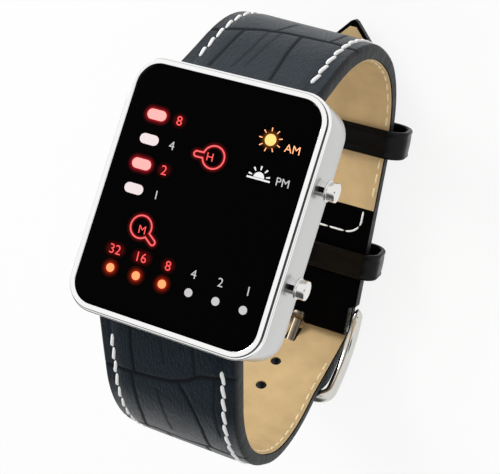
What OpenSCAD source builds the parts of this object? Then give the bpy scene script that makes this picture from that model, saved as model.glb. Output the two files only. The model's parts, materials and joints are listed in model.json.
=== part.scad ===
// Wristwatch with a binary light display, buckled on its leather strap.
// It stands on its two keepers, with the doubled back of the strap level along Y.
// Case pieces and straps are drawn in the case frame: the face centre is the origin,
// +Y points to 12 o'clock and +Z comes out of the face. on_case() leans that frame back.

/* [Case] */
// Width of the case from 9 to 3 o'clock
case_w = 33; // [31:0.5:38]
// Length of the case from 12 to 6 o'clock
case_l = 40.6; // [39:0.2:46]
// Height of the case from its back to its rim
case_h = 10; // [9.5:0.1:12]
// Corner radius of the case
case_corner_r = 4.8; // [4:0.2:7]
// Thickness of the side walls
case_wall = 1.8; // [1.5:0.1:2.2]
// Width of the ledge that steps in below the rim
rim_step = 0.4; // [0.2:0.1:0.5]
// Height of the rim above that ledge
rim_h = 0.8; // [0.4:0.1:1]
// Width of the rim around the lens
rim_w = 0.85; // [0.4:0.05:0.9]
// Thickness of the end walls between the module and the strap slots
end_wall = 1.6; // [1.2:0.1:2]
// Depth of the strap slots from the case ends
slot_depth = 4.4; // [4.2:0.1:5]

/* [Face] */
// Thickness of the face lens
lens_t = 1.2; // [0.8:0.1:1.4]
// Depth of the lens below the rim
lens_drop = 0.1; // [0:0.05:0.2]
// Thickness of the adhesive ring below the lens
gasket_t = 0.15; // [0.1:0.05:0.2]
// Thickness of the dial mask
mask_t = 0.25; // [0.15:0.05:0.3]
// Thickness of the light guide
guide_t = 1.6; // [1.2:0.1:1.8]
// Thickness of the circuit board
board_t = 0.8; // [0.6:0.1:1]
// Height of a light on the board
led_h = 0.6; // [0.4:0.1:0.9]
// Pitch of the hour lights
hour_pitch = 3.9; // [3.5:0.1:4.2]
// Pitch of the minute lights
minute_pitch = 4.45; // [4:0.05:4.5]
// Length of an hour window
hour_window_l = 3; // [2.4:0.1:3.4]
// Width of an hour window
hour_window_w = 1.5; // [1.2:0.1:1.8]
// Diameter of a minute window
minute_window_d = 1.3; // [1:0.1:1.6]
// Diameter of a sun window
sun_window_d = 3; // [2.4:0.1:3.4]

/* [Back] */
// Thickness of the case back
back_t = 1.05; // [0.9:0.05:1.2]
// Width of the ledge that carries the back
back_ledge = 0.7; // [0.5:0.1:0.9]
// Diameter of a back screw's thread
screw_d = 1; // [0.8:0.1:1.2]
// Diameter of a back screw's head
screw_head_d = 2; // [1.8:0.1:2.2]
// Height of a back screw's head
screw_head_h = 0.5; // [0.4:0.1:0.6]
// Length of a back screw below its head
screw_l = 3; // [2.5:0.1:3.5]
// Side of the corner posts that take the screws
post_side = 3.4; // [3.2:0.1:4]
// Diameter of the coin cell
cell_d = 20; // [16:1:20]
// Thickness of the coin cell
cell_t = 2.5; // [1.6:0.1:2.7]

/* [Buttons] */
// Distance of each button from the middle of the case
button_y = 7.5; // [6:0.5:9]
// Depth of the button axes below the rim
button_drop = 5.2; // [4.9:0.1:5.4]
// Travel of a button
button_travel = 0.8; // [0.5:0.1:0.9]
// Outer diameter of a button sleeve
sleeve_d = 2.5; // [2.4:0.1:2.6]
// Bore of a button sleeve
sleeve_bore_d = 1.9; // [1.8:0.05:2]
// Length of a sleeve outside the wall
sleeve_out = 1.1; // [1:0.1:1.3]
// Diameter of the flange at a button cap's mouth
cap_d = 3.4; // [3.3:0.1:3.8]
// Diameter of a button cap past its flange
cap_end_d = 3; // [2.6:0.1:3.2]
// Length of a cap's flange
cap_flange_l = 0.4; // [0.3:0.1:0.6]
// Length of a cap past its flange
cap_end_l = 1.3; // [1.2:0.1:1.8]
// Diameter of a button stem
stem_d = 0.8; // [0.7:0.05:0.9]

/* [Strap] */
// Width of the strap
strap_w = 24; // [22:0.5:24]
// Width of the tail strap at the buckle and past it
tail_w = 21.2; // [20:0.2:22]
// Height above the floor where the tail strap has its full width
narrow_top = 45; // [40:1:50]
// Height above the floor from which the tail strap keeps its lower width
narrow_end = 20; // [18:1:25]
// Thickness of each strap at the case
strap_t_case = 3.4; // [3.2:0.1:3.6]
// Thickness of the buckle strap at its back
strap_t_back = 3; // [2.8:0.1:3.2]
// Thickness of the tail strap past the case
tail_t = 2.6; // [2.4:0.1:2.8]
// Length over which a strap thins out
taper_l = 40; // [30:1:45]
// Thickness of the lining
lining_t = 0.8; // [0.6:0.1:1]
// Distance of the case spring bars from the case ends
bar_inset = 2.1; // [2:0.1:2.3]
// Depth of the case spring bars below the rim
bar_drop = 4.3; // [4.2:0.1:4.8]
// Slope of the buckle strap as it leaves the case
top_exit = 44; // [40:1:48]
// Slope of the tail strap as it leaves the case
bottom_exit = 43; // [39:1:45]
// Reach of the loop past the case at 12 o'clock
top_reach = 13.6; // [12.5:0.1:15]
// Reach of the loop past the case at 6 o'clock
bottom_reach = 16.1; // [15:0.1:17]
// Depth below the face where the loop's top side meets the line of its back
back_corner_drop = 48.2; // [46:0.2:50]
// Depth below the face where the loop's bottom side turns under
tail_corner_drop = 50.8; // [49:0.2:52]
// Bend radius of the buckle strap near the case
top_bend_r = 31; // [26:1:31]
// Bend radius of the buckle strap at its back
back_bend_r = 18; // [15:1:18]
// Bend radius of the tail strap
tail_bend_r = 28; // [25:1:30]
// Bend radius of the tail strap below the buckle bar
under_bar_r = 3.5; // [3:0.5:6]
// Lean of the face from level, which is also the slope of the back in the case frame
lean = 24; // [22:1:26]
// Length of the tail strap past the line of the loop's top side
tail_past = 10.5; // [6:0.5:14]
// Length of the pointed end of the tail strap
tip_l = 11.5; // [8:0.5:13]
// Diameter of the tail strap's holes
hole_d = 2.2; // [1.8:0.1:2.4]
// Pitch of the tail strap's holes
hole_pitch = 7; // [6:0.5:7]
// End of the buckle strap's lining, from the back corner
lining_end = 24.8; // [22:0.2:26]

/* [Keepers] */
// Length of a keeper along the strap
keeper_w = 5.5; // [4:0.5:6]
// Thickness of a keeper
keeper_t = 1; // [0.8:0.1:1.2]
// Gap on each side of the strap in the fixed keeper
fixed_keeper_room = 1; // [0.5:0.1:1.5]
// Gap on each side of the strap in the free keeper
free_keeper_room = 1.6; // [0.8:0.1:2]
// Distance of the fixed keeper from the buckle bar
fixed_keeper_at = 14.8; // [13:0.2:16]
// Distance of the free keeper from the fixed one
free_keeper_at = 25.4; // [21:0.2:26]

/* [Buckle] */
// Distance of the buckle bar from the back corner
buckle_bar_at = 51.2; // [49:0.2:52]
// Outer diameter of the buckle bar
buckle_bar_d = 1.3; // [1.2:0.05:1.4]
// Width of a buckle arm
arm_w = 2.2; // [1.4:0.1:2.4]
// Height of a buckle arm
arm_h = 2.6; // [2:0.1:3]
// Outward bow of the buckle arms
arm_bow = 2; // [1.5:0.1:2.5]
// Length of the buckle arms past the bar
arm_past = 3.4; // [0.5:0.1:4]
// Radius of the buckle arms' round ends
arm_end_r = 1.45; // [1.2:0.05:1.7]
// Radius of the buckle's crossbar
crossbar_r = 1.2; // [1.15:0.05:1.3]
// Distance of the crossbar up the tail strap from the corner under the bar
crossbar_at = 14.6; // [13:0.1:15.5]
// Width of the tongue
tongue_w = 1.8; // [1.4:0.1:2]
// Thickness of the tongue
tongue_t = 1; // [0.8:0.1:1.2]
// Width of the tongue's knuckle on the bar
knuckle_w = 2.6; // [2.2:0.1:3]
// Furthest swing of frame and tongue together, in degrees
buckle_swing = 18; // [10:1:20]

/* [Spring bars] */
// Outer diameter of the case spring bars
bar_d = 1.5; // [1.4:0.05:1.6]
// Wall of a spring bar tube
bar_tube_t = 0.2; // [0.15:0.05:0.25]
// Diameter of a case spring bar's tips
tip_d = 0.75; // [0.6:0.05:0.8]
// Diameter of the buckle bar's tips
buckle_tip_d = 0.6; // [0.5:0.05:0.65]
// Reach of a tip into its lug or arm
tip_reach = 0.9; // [0.7:0.1:1]
// Length of a tip's shoulder in its tube
shoulder_l = 3; // [2.5:0.1:4]

/* [Fits] */
// Gap between fixed pieces
fit = 0.05; // [0.02:0.01:0.06]
// Radial gap of a shaft in its bore
run_gap = 0.05; // [0.03:0.01:0.06]
// Gap between the layers of the strap and around a keeper
strap_gap = 0.15; // [0.12:0.01:0.18]
// Gap on each side of the strap in its slots and buckle
side_gap = 0.3; // [0.25:0.05:0.4]
// Room over the strap in the free keeper
free_keeper_gap = 0.55; // [0.5:0.05:0.6]
// Room around the tongue in its hole
tongue_gap = 0.3; // [0.25:0.05:0.4]

/* [Hidden] */
$fn = 64;
arc_step = 3;
corner_steps = 8;
past = 1;
chrome = [0.82, 0.83, 0.85];
steel = [0.62, 0.63, 0.65];
leather = [0.06, 0.07, 0.09];
tan_leather = [0.78, 0.65, 0.45];

// Levels in the case frame, downwards from the rim
lens_bottom = -lens_drop - lens_t;
ledge_z = lens_bottom - gasket_t;
mask_top = lens_bottom - fit;
guide_top = mask_top - mask_t;
board_top = guide_top - guide_t;
board_bottom = board_top - board_t;
back_top = -case_h + back_t;
back_ledge_z = back_top + gasket_t;
sheet_t = 0.1;
clip_t = 0.2;
sheet_bottom = back_ledge_z + fit;
clip_bottom = sheet_bottom + sheet_t;
cell_bottom = clip_bottom + clip_t;
cell_top = cell_bottom + cell_t;

// Module and cavity
rim_in = rim_step + rim_w;
cavity_w = case_w - 2 * case_wall;
cavity_l = case_l - 2 * (slot_depth + end_wall);
cavity_r = 1.5;
back_w = cavity_w + 2 * back_ledge - 2 * fit;
back_l = cavity_l + 2 * back_ledge - 2 * fit;
sleeve_in = 0.7;
sleeve_room = 0.5;
module_w = cavity_w - 2 * (sleeve_in + sleeve_room);
module_l = cavity_l - 2 * fit;
frame_wall = 0.8;
cell_room = 4 * fit;
cell_y = -(module_l - cell_d) / 2 + frame_wall + 2 * cell_room;
chip_inset = 2.4;
chip_y = module_l / 2 - chip_inset;
chip_room = 0.3;
chip_side = 3.4;
chip_h = 1;
crystal_d = 1.6;
crystal_l = 5;
chip_x = 4.4;
post_room = 0.6;
post_z = board_bottom - post_room;
screw_shift = 0.2;
screw_x = cavity_w / 2 - post_side / 2 + screw_shift;
screw_y = cavity_l / 2 - post_side / 2 + screw_shift;
contact_d = 4;
contact_post_d = 1.6;
clip_half_w = 1.5;

// Windows on the face
hour_inset = [4.4, 3];
hour_x = -cavity_w / 2 + hour_inset[0];
hour_y = cavity_l / 2 - hour_inset[1];
hours = 4;
minute_inset = [4.6, 1.45];
minute_x = -cavity_w / 2 + minute_inset[0];
minute_y = -cavity_l / 2 + minute_inset[1];
minutes = 6;
sun_inset = 6.3;
sun_x = cavity_w / 2 - sun_inset;
sun_ys = [for (inset = [2.3, 7.8]) cavity_l / 2 - inset];
led_size = [1.6, 0.8];
small_led_size = [0.5, 1];
window_gap = 0.2;

// Buttons
wall_x = case_w / 2;
sleeve_end_x = wall_x + sleeve_out;
sleeve_start_x = wall_x - case_wall - sleeve_in;
sleeve_floor_x = sleeve_start_x + sleeve_in;
stop_gap = 0.1;
cap_mouth_x = wall_x + button_travel + stop_gap;
cap_floor_x = sleeve_end_x + button_travel + stop_gap;
cap_join = 0.1;
cap_step_x = cap_mouth_x + cap_flange_l;
boss_l = 0.6;
boss_x = sleeve_end_x - boss_l;
clip_w = 0.3;
clip_x = sleeve_start_x - clip_w - fit;
clip_lip = 0.4;
clip_groove = 0.15;
clip_ease = 0.02;
stem_past_clip = 0.9;
stem_start_x = clip_x - stem_past_clip;
leaf_t = 0.15;
leaf_half_w = 1.2;
leaf_below = 0.8;
leaf_room = 0.6;
leaf_x = stem_start_x - button_travel - stop_gap - leaf_t;
seal_r = 0.2;
seal_ease = 0.02;
seal_x = (boss_x + sleeve_end_x) / 2;
button_spring_wire = 0.22;
button_spring_turns = 5;

// Strap loop in the case frame, as [y, z] points on the straps' inner faces
back_dir = [-cos(lean), -sin(lean)];
back_out = [sin(lean), -cos(lean)];
top_bar = [case_l / 2 - bar_inset, -bar_drop];
bottom_bar = [-case_l / 2 + bar_inset, -bar_drop];
eye_r = strap_t_case / 2;
eye_inset = 0.05;
top_start = top_bar - eye_r * [sin(top_exit), cos(top_exit)];
bottom_start = bottom_bar - eye_r * [-sin(bottom_exit), cos(bottom_exit)];
top_y = case_l / 2 + top_reach;
bottom_y = -case_l / 2 - bottom_reach;
top_corner = [top_y, top_start[1] - (top_y - top_start[0]) * tan(top_exit)];
back_corner = [top_y, -back_corner_drop];
bottom_corner = [bottom_y, bottom_start[1] - (bottom_start[0] - bottom_y) * tan(bottom_exit)];
tail_corner = [bottom_y, -tail_corner_drop];
buckle_end = back_corner + buckle_bar_at * back_dir;
buckle_bar = buckle_end + strap_t_back / 2 * back_out;
tail_depth = strap_t_back + strap_gap;
under_bar_share = 0.6;
under_bar = back_corner + (buckle_bar_at + under_bar_r * under_bar_share) * back_dir + tail_depth * back_out;
tail_end = back_corner - tail_past * back_dir + tail_depth * back_out;
lining_inset = 0.8;
lining_start = eye_r + lining_inset;
tip_r = 1;
shoulder_r = 3;

// Stand frame: the floor is the underside of the keepers
keeper_inner_h = strap_gap + tail_t + strap_gap + strap_t_back + strap_gap;
floor_depth = strap_t_back + strap_gap + tail_t + strap_gap + keeper_t;
keeper_foot = back_corner + (buckle_bar_at - fixed_keeper_at) * back_dir + floor_depth * back_out;

lug_x = strap_w / 2 + side_gap;

// Buckle, in the case frame
frame_x = tail_w / 2 + side_gap;
end_cut_l = arm_past + arm_end_r + side_gap;
tail_dir = unit(tail_corner - under_bar);
tail_out = [-tail_dir[1], tail_dir[0]];
crossbar = under_bar + crossbar_at * tail_dir + (tail_t + side_gap + crossbar_r) * tail_out;
buckle_chord = crossbar - buckle_bar;
chord_l = norm(buckle_chord);
arm_r = chord_l * chord_l / 8 / arm_bow + arm_bow / 2;
chord_angle = atan2(buckle_chord[1], buckle_chord[0]);
tongue_rest = 0.1;
tongue_lift = crossbar_r + tongue_rest + tongue_t / 2;
tongue_angle = chord_angle + asin(tongue_lift / chord_l);
tongue_past = 1;
tongue_l = chord_l + tongue_past;
knuckle_inset = 0.15;
knuckle_r = strap_t_back / 2 - knuckle_inset;
keeper_ease = 0.4;
bar_wire = 0.18;
bar_turns = 9;

function unit(v) = v / norm(v);
function left_of(d) = [-d[1], d[0]];
function turned(v, a) = [v[0] * cos(a) - v[1] * sin(a), v[0] * sin(a) + v[1] * cos(a)];
function side_of(a, b) = a[0] * b[1] - a[1] * b[0];
function case_to_stand(p) = turned(p, -lean) - turned(keeper_foot, -lean);

// A corner p between a and b rounded to radius r, within the room on each side
function corner_arc(a, p, b, r, room) =
    let (d = unit(p - a), e = unit(b - p), turn = atan2(side_of(d, e), d * e), half = tan(abs(turn) / 2),
         t = min(r * half, room), spoke = left_of(d) * sign(turn) * t / half,
         centre = p - d * t + spoke, steps = ceil(abs(turn) / arc_step))
    [for (i = [0 : steps]) centre - turned(spoke, turn * i / steps)];
function room_at(points, i) =
    let (n = len(points), before = norm(points[i] - points[i - 1]), after = norm(points[i + 1] - points[i]))
    min(i == 1 ? before : before / 2, i == n - 2 ? after : after / 2);
function rounded_path(points, radii) = [
    points[0],
    for (i = [1 : len(points) - 2])
        each corner_arc(points[i - 1], points[i], points[i + 1], radii[i - 1], room_at(points, i)),
    points[len(points) - 1]
];
function path_lengths(p) = [
    for (i = 0, s = 0; i < len(p); i = i + 1, s = i < len(p) ? s + norm(p[i] - p[i - 1]) : s) s
];
function path_normals(p, side) = [
    for (i = [0 : len(p) - 1]) side * left_of(unit(p[min(i + 1, len(p) - 1)] - p[max(i - 1, 0)]))
];
// Outline of a band along a path, from no offset to each point's thickness
function band(p, side, thick) =
    let (n = path_normals(p, side), last = len(p) - 1)
    concat(p, [for (i = [last : -1 : 0]) p[i] + n[i] * thick[i]]);
function taper(s, from, to) = s >= taper_l ? to : to + (from - to) * (1 + cos(180 * s / taper_l)) / 2;
function tapered(p, from, to) = [for (s = path_lengths(p)) taper(s, from, to)];
function constant(p, t) = [for (q = p) t];

function rounded_rect(w, l, r) = [
    for (k = [0 : 3], i = [0 : corner_steps])
        let (a = 90 * k + 90 * i / corner_steps, sx = (k == 0 || k == 3) ? 1 : -1, sy = k < 2 ? 1 : -1)
        [sx * (w / 2 - r) + r * cos(a), sy * (l / 2 - r) + r * sin(a)]
];

buckle_path = rounded_path([top_start, top_corner, back_corner, buckle_end], [top_bend_r, back_bend_r]);
buckle_lining_path = rounded_path(
    [top_start + lining_start * unit(top_corner - top_start), top_corner, back_corner,
     back_corner + lining_end * back_dir], [top_bend_r, back_bend_r]);
tail_radii = [tail_bend_r, tail_bend_r, under_bar_r];
tail_path = rounded_path([bottom_start, bottom_corner, tail_corner, under_bar, tail_end], tail_radii);
tail_lining_path = rounded_path(
    [bottom_start + lining_start * unit(bottom_corner - bottom_start), bottom_corner, tail_corner,
     under_bar, tail_end], tail_radii);

// Points of a round wire wound along X
function coil_point(r, l, turns, k, rings) =
    let (a = 360 * turns * k / rings) [l * k / rings, r * cos(a), r * sin(a)];
coil_rings_per_turn = 10;
coil_sides = 6;

module coil(r, wire, l, turns) {
    rings = turns * coil_rings_per_turn;
    points = [
        for (k = [0 : rings], i = [0 : coil_sides - 1])
            let (p = coil_point(r, l, turns, k, rings), a = 360 * turns * k / rings,
                 q = 360 * i / coil_sides, out = [0, cos(a), sin(a)])
            p + wire / 2 * (cos(q) * out + [sin(q), 0, 0])
    ];
    sides = [
        for (k = [0 : rings - 1], i = [0 : coil_sides - 1])
            let (a = k * coil_sides + i, b = k * coil_sides + (i + 1) % coil_sides)
            each [[a, b, a + coil_sides], [b, b + coil_sides, a + coil_sides]]
    ];
    first = [for (i = [1 : coil_sides - 2]) [0, i + 1, i]];
    end = rings * coil_sides;
    last = [for (i = [1 : coil_sides - 2]) [end, end + i, end + i + 1]];
    polyhedron(points, concat(sides, first, last));
}

module on_case() {
    translate([0, -turned(keeper_foot, -lean)[0], -turned(keeper_foot, -lean)[1]])
        rotate([-lean, 0, 0]) children();
}

// Draws a profile in the YZ plane, with its thickness across X
module across(width) rotate([90, 0, 90]) linear_extrude(width, center = true) children();

module rod_x(p, r, x0, x1) translate([x0, p[0], p[1]]) rotate([0, 90, 0]) cylinder(r = r, h = x1 - x0);

module slab(w, l, r, z0, z1) translate([0, 0, z0]) linear_extrude(z1 - z0) polygon(rounded_rect(w, l, r));

module box(x, y, z) translate([x[0], y[0], z[0]]) cube([x[1] - x[0], y[1] - y[0], z[1] - z[0]]);

module at_screws() for (sx = [-1, 1], sy = [-1, 1]) translate([sx * screw_x, sy * screw_y, 0]) children();

module at_hours() for (i = [0 : hours - 1]) translate([hour_x, hour_y - i * hour_pitch, 0]) children();

module at_minutes()
    for (i = [0 : minutes - 1]) translate([minute_x + i * minute_pitch, minute_y, 0]) children();

module at_suns() for (y = sun_ys) translate([sun_x, y, 0]) children();

module pill(l, w, z0, z1) {
    box([-(l - w) / 2, (l - w) / 2], [-w / 2, w / 2], [z0, z1]);
    for (s = [-1, 1]) translate([s * (l - w) / 2, 0, z0]) cylinder(d = w, h = z1 - z0);
}

module windows(z0, z1, extra) {
    at_hours() pill(hour_window_l + extra, hour_window_w + extra, z0, z1);
    at_minutes() translate([0, 0, z0]) cylinder(d = minute_window_d + extra, h = z1 - z0);
    at_suns() translate([0, 0, z0]) cylinder(d = sun_window_d + extra, h = z1 - z0);
}

// Case and its back

module strap_slot(end) {
    half = strap_w / 2 + side_gap;
    y_in = end * (case_l / 2 - slot_depth);
    y_out = end * (case_l / 2 + past);
    box([-half, half], [min(y_in, y_out), max(y_in, y_out)],
        [-case_h - past, -bar_drop + eye_r + side_gap]);
}

module case_body() color(chrome) on_case() difference() {
    union() {
        slab(case_w, case_l, case_corner_r, -case_h, -rim_h);
        slab(case_w - 2 * rim_step, case_l - 2 * rim_step, case_corner_r - rim_step, -rim_h - past, 0);
    }
    slab(case_w - 2 * rim_in, case_l - 2 * rim_in, case_corner_r - rim_in, ledge_z, past);
    difference() {
        slab(cavity_w, cavity_l, cavity_r, -case_h - past, ledge_z + past / 4);
        for (sx = [-1, 1], sy = [-1, 1])
            translate([sx * (cavity_w - post_side) / 2, sy * (cavity_l - post_side) / 2, 0])
                box([-post_side, post_side] / 2, [-post_side, post_side] / 2, [back_ledge_z, post_z]);
    }
    slab(cavity_w + 2 * back_ledge, cavity_l + 2 * back_ledge, cavity_r + back_ledge,
         -case_h - past, back_ledge_z);
    for (end = [-1, 1]) strap_slot(end);
    for (p = [top_bar, bottom_bar], s = [-1, 1]) {
        face = strap_w / 2 + side_gap;
        far = face + tip_reach + run_gap;
        rod_x(p, tip_d / 2 + run_gap, min(s * (face - past), s * far), max(s * (face - past), s * far));
    }
    for (y = [-button_y, button_y])
        rod_x([y, -button_drop], sleeve_d / 2 + fit, wall_x - case_wall - past, wall_x + past);
    at_screws() translate([0, 0, back_top]) cylinder(d = screw_d + 2 * fit, h = screw_l);
}

module face_lens() color([0.02, 0.02, 0.025]) on_case()
    slab(case_w - 2 * rim_in - 2 * fit, case_l - 2 * rim_in - 2 * fit, case_corner_r - rim_in - fit,
         lens_bottom, -lens_drop);

module lens_gasket() color([0.25, 0.25, 0.27]) on_case() difference() {
    slab(case_w - 2 * rim_in - 2 * fit, case_l - 2 * rim_in - 2 * fit, case_corner_r - rim_in - fit,
         ledge_z, lens_bottom);
    slab(cavity_w, cavity_l, cavity_r, ledge_z - past, lens_bottom + past);
}

module dial_mask() color([0.08, 0.08, 0.09]) on_case() difference() {
    slab(cavity_w - 2 * fit, cavity_l - 2 * fit, cavity_r - fit, guide_top, mask_top);
    windows(guide_top - past, mask_top + past, 0);
}

module light_guide() color([0.92, 0.92, 0.9]) on_case() difference() {
    slab(module_w, module_l, cavity_r - fit, board_top, guide_top);
    windows(board_top - past, guide_top + past, window_gap);
}

module circuit_board() color([0.1, 0.35, 0.2]) on_case()
    slab(module_w, module_l, cavity_r - fit, board_bottom, board_top);

module led(size) box([-size[0], size[0]] / 2, [-size[1], size[1]] / 2, [board_top, board_top + led_h]);

module hour_leds() color([0.9, 0.2, 0.2]) on_case() at_hours() led(led_size);

module minute_leds() color([0.95, 0.35, 0.15]) on_case() at_minutes() led(small_led_size);

module icon_leds() color([0.95, 0.7, 0.2]) on_case() at_suns() led(led_size);

module control_chip() color([0.1, 0.1, 0.1]) on_case()
    translate([-chip_x, chip_y, 0])
        box([-chip_side, chip_side] / 2, [-chip_side, chip_side] / 2, [board_bottom - chip_h, board_bottom]);

module quartz_crystal() color(steel) on_case()
    rod_x([chip_y, board_bottom - crystal_d / 2], crystal_d / 2,
          chip_x - crystal_l / 2, chip_x + crystal_l / 2);

module module_frame() color([0.85, 0.85, 0.82]) on_case() difference() {
    slab(module_w, module_l, cavity_r - fit, clip_bottom, board_bottom);
    translate([0, cell_y, clip_bottom - past])
        cylinder(d = cell_d + cell_room, h = cell_t + clip_t + 2 * fit + past);
    translate([0, cell_y, 0])
        cylinder(d = cell_d / 2, h = 4 * case_h, center = true);
    for (s = [-1, 1])
        box([s * chip_x - chip_x + 2 * chip_room, s * chip_x + chip_x - 2 * chip_room],
            [chip_y - chip_side / 2 - chip_room, chip_y + chip_side / 2 + chip_room],
            [board_bottom - 2 * chip_h, board_bottom + past]);
    for (sx = [-1, 1], sy = [-1, 1])
        translate([sx * cavity_w / 2, sy * cavity_l / 2, 0])
            box([-post_side - fit, post_side + fit], [-post_side - fit, post_side + fit],
                [-case_h, post_z + fit]);
    for (y = [-button_y, button_y])
        box([leaf_x, module_w], [y - leaf_half_w - leaf_room, y + leaf_half_w + leaf_room],
            [-button_drop - leaf_below - leaf_room, board_bottom + past]);
    clip_strip(fit);
}

module coin_cell() color(steel) on_case()
    translate([0, cell_y, cell_bottom]) cylinder(d = cell_d, h = cell_t);

// A spring strip across the cell, with a leg up to the board at each end
module clip_strip(extra) {
    leg = cell_d / 2 + cell_room;
    half_w = clip_half_w + extra;
    box([-leg - clip_t - extra, leg + clip_t + extra], [cell_y - half_w, cell_y + half_w],
        [clip_bottom - extra, cell_bottom + extra]);
    for (s = [-1, 1]) translate([s * (leg + clip_t / 2), cell_y, 0])
        box([-clip_t / 2 - extra, clip_t / 2 + extra], [-half_w, half_w], [clip_bottom, board_bottom]);
}

module cell_clip() color(steel) on_case() clip_strip(0);

// A bowed leaf between the cell and the board, drawn as a post with a wide foot
module cell_contact() color([0.75, 0.65, 0.35]) on_case() translate([0, cell_y, 0]) {
    translate([0, 0, cell_top]) cylinder(d = contact_d, h = clip_t);
    translate([0, 0, cell_top]) cylinder(d = contact_post_d, h = board_bottom - cell_top);
}

module insulator_sheet() color([0.85, 0.6, 0.2]) on_case()
    slab(module_w, cavity_l - 2 * post_side - 2, 1, sheet_bottom, clip_bottom);

module case_back() color(steel) on_case() difference() {
    slab(back_w, back_l, cavity_r + back_ledge - fit, -case_h, back_top);
    at_screws() {
        translate([0, 0, -case_h - past]) cylinder(d = screw_head_d + 2 * fit, h = screw_head_h + past);
        translate([0, 0, -case_h - past]) cylinder(d = screw_d + 2 * fit, h = 2 * case_h);
    }
}

module back_gasket() color([0.1, 0.1, 0.1]) on_case() difference() {
    slab(back_w, back_l, cavity_r + back_ledge - fit, back_top, back_ledge_z);
    slab(cavity_w, cavity_l, cavity_r, back_top - past, back_ledge_z + past);
}

module back_screws() color(steel) on_case() at_screws() {
    translate([0, 0, -case_h]) cylinder(d = screw_head_d, h = screw_head_h);
    translate([0, 0, -case_h]) cylinder(d = screw_d, h = back_t + screw_l - 2 * fit);
}

// Buttons

module switch_leaf(y) color([0.75, 0.65, 0.35]) on_case()
    box([leaf_x, leaf_x + leaf_t], [y - leaf_half_w, y + leaf_half_w],
        [-button_drop - leaf_below, board_bottom]);

module button_sleeve(y) color(chrome) on_case() difference() {
    rod_x([y, -button_drop], sleeve_d / 2, sleeve_start_x, sleeve_end_x);
    rod_x([y, -button_drop], sleeve_bore_d / 2, sleeve_floor_x, sleeve_end_x + past);
    rod_x([y, -button_drop], stem_d / 2 + run_gap, sleeve_start_x - past, sleeve_end_x);
}

module push_button(y) color(chrome) on_case() difference() {
    axis = [y, -button_drop];
    union() {
        rod_x(axis, cap_d / 2, cap_mouth_x, cap_step_x);
        rod_x(axis, cap_end_d / 2, cap_step_x - cap_join, cap_step_x + cap_end_l);
    }
    rod_x(axis, sleeve_d / 2 + run_gap, cap_mouth_x - past, cap_floor_x);
}

module button_stem(y) difference() {
    axis = [y, -button_drop];
    union() {
        rod_x(axis, sleeve_bore_d / 2 - run_gap, boss_x, cap_floor_x + cap_join);
        rod_x(axis, stem_d / 2, stem_start_x, boss_x + cap_join);
    }
    difference() {
        rod_x(axis, sleeve_bore_d, seal_x - seal_r - fit, seal_x + seal_r + fit);
        rod_x(axis, sleeve_bore_d / 2 - run_gap - 2 * seal_r, seal_x - past, seal_x + past);
    }
    difference() {
        rod_x(axis, stem_d, clip_x - fit, clip_x + clip_w + fit);
        rod_x(axis, stem_d / 2 - clip_groove, clip_x - past, clip_x + past);
    }
}

module whole_button(y) {
    push_button(y);
    color(chrome) on_case() button_stem(y);
}

module button_spring(y) color(steel) on_case()
    translate([sleeve_floor_x + button_spring_wire / 2 + fit, y, -button_drop])
        coil((stem_d + sleeve_bore_d) / 4, button_spring_wire,
             boss_x - sleeve_floor_x - button_spring_wire - 2 * fit, button_spring_turns);

module button_seal(y) color([0.1, 0.1, 0.1]) on_case()
    translate([seal_x, y, -button_drop]) rotate([0, 90, 0]) rotate_extrude()
        translate([sleeve_bore_d / 2 - run_gap - seal_r, 0]) circle(r = seal_r - seal_ease, $fn = 24);

module button_clip(y) color(steel) on_case() difference() {
    rod_x([y, -button_drop], stem_d / 2 + clip_lip, clip_x, clip_x + clip_w);
    rod_x([y, -button_drop], stem_d / 2 - clip_groove + clip_ease, clip_x - past, clip_x + past);
}

// Spring bars, each at p between two faces at x = half

function bore_r(d) = d / 2 - bar_tube_t;
function tube_half(half) = half - side_gap / 2;

module bar_tube(p, d, nose_d, half) color(steel) on_case() difference() {
    rod_x(p, d / 2, -tube_half(half), tube_half(half));
    rod_x(p, bore_r(d), -tube_half(half) + bar_tube_t, tube_half(half) - bar_tube_t);
    rod_x(p, nose_d / 2 + run_gap, -half, half);
}

module bar_tip(p, d, nose_d, half, s) color(chrome) on_case() {
    shoulder = tube_half(half) - bar_tube_t - fit;
    translate([0, p[0], p[1]]) rotate([0, s * 90, 0]) {
        translate([0, 0, shoulder - shoulder_l]) cylinder(r = bore_r(d) - run_gap, h = shoulder_l);
        translate([0, 0, shoulder - shoulder_l])
            cylinder(d = nose_d, h = half + tip_reach - shoulder + shoulder_l);
    }
}

module bar_spring(p, d, half) color(steel) on_case() {
    l = 2 * (tube_half(half) - bar_tube_t - shoulder_l - 2 * fit) - bar_wire - 2 * fit;
    translate([-l / 2, p[0], p[1]]) coil(bore_r(d) - run_gap - bar_wire / 2, bar_wire, l, bar_turns);
}

// Straps

module eye(p, thick) rod_x(p, thick / 2 - eye_inset, -strap_w / 2, strap_w / 2);

module eye_bore(p, d) rod_x(p, d / 2 + run_gap, -strap_w, strap_w);

// The space that the tongue needs, from rest to its furthest swing
module tongue_sweep() {
    half = tongue_t / 2 + tongue_gap;
    ends = [0.5, chord_l - crossbar_r];
    upper = [for (l = ends) turned([l, -half], tongue_angle)];
    lower = [for (l = ends) turned([l, half], tongue_angle + buckle_swing + 1)];
    translate([0, buckle_bar[0], buckle_bar[1]]) across(tongue_w + 2 * tongue_gap)
        polygon([upper[0], upper[1], lower[1], lower[0]]);
}

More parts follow.
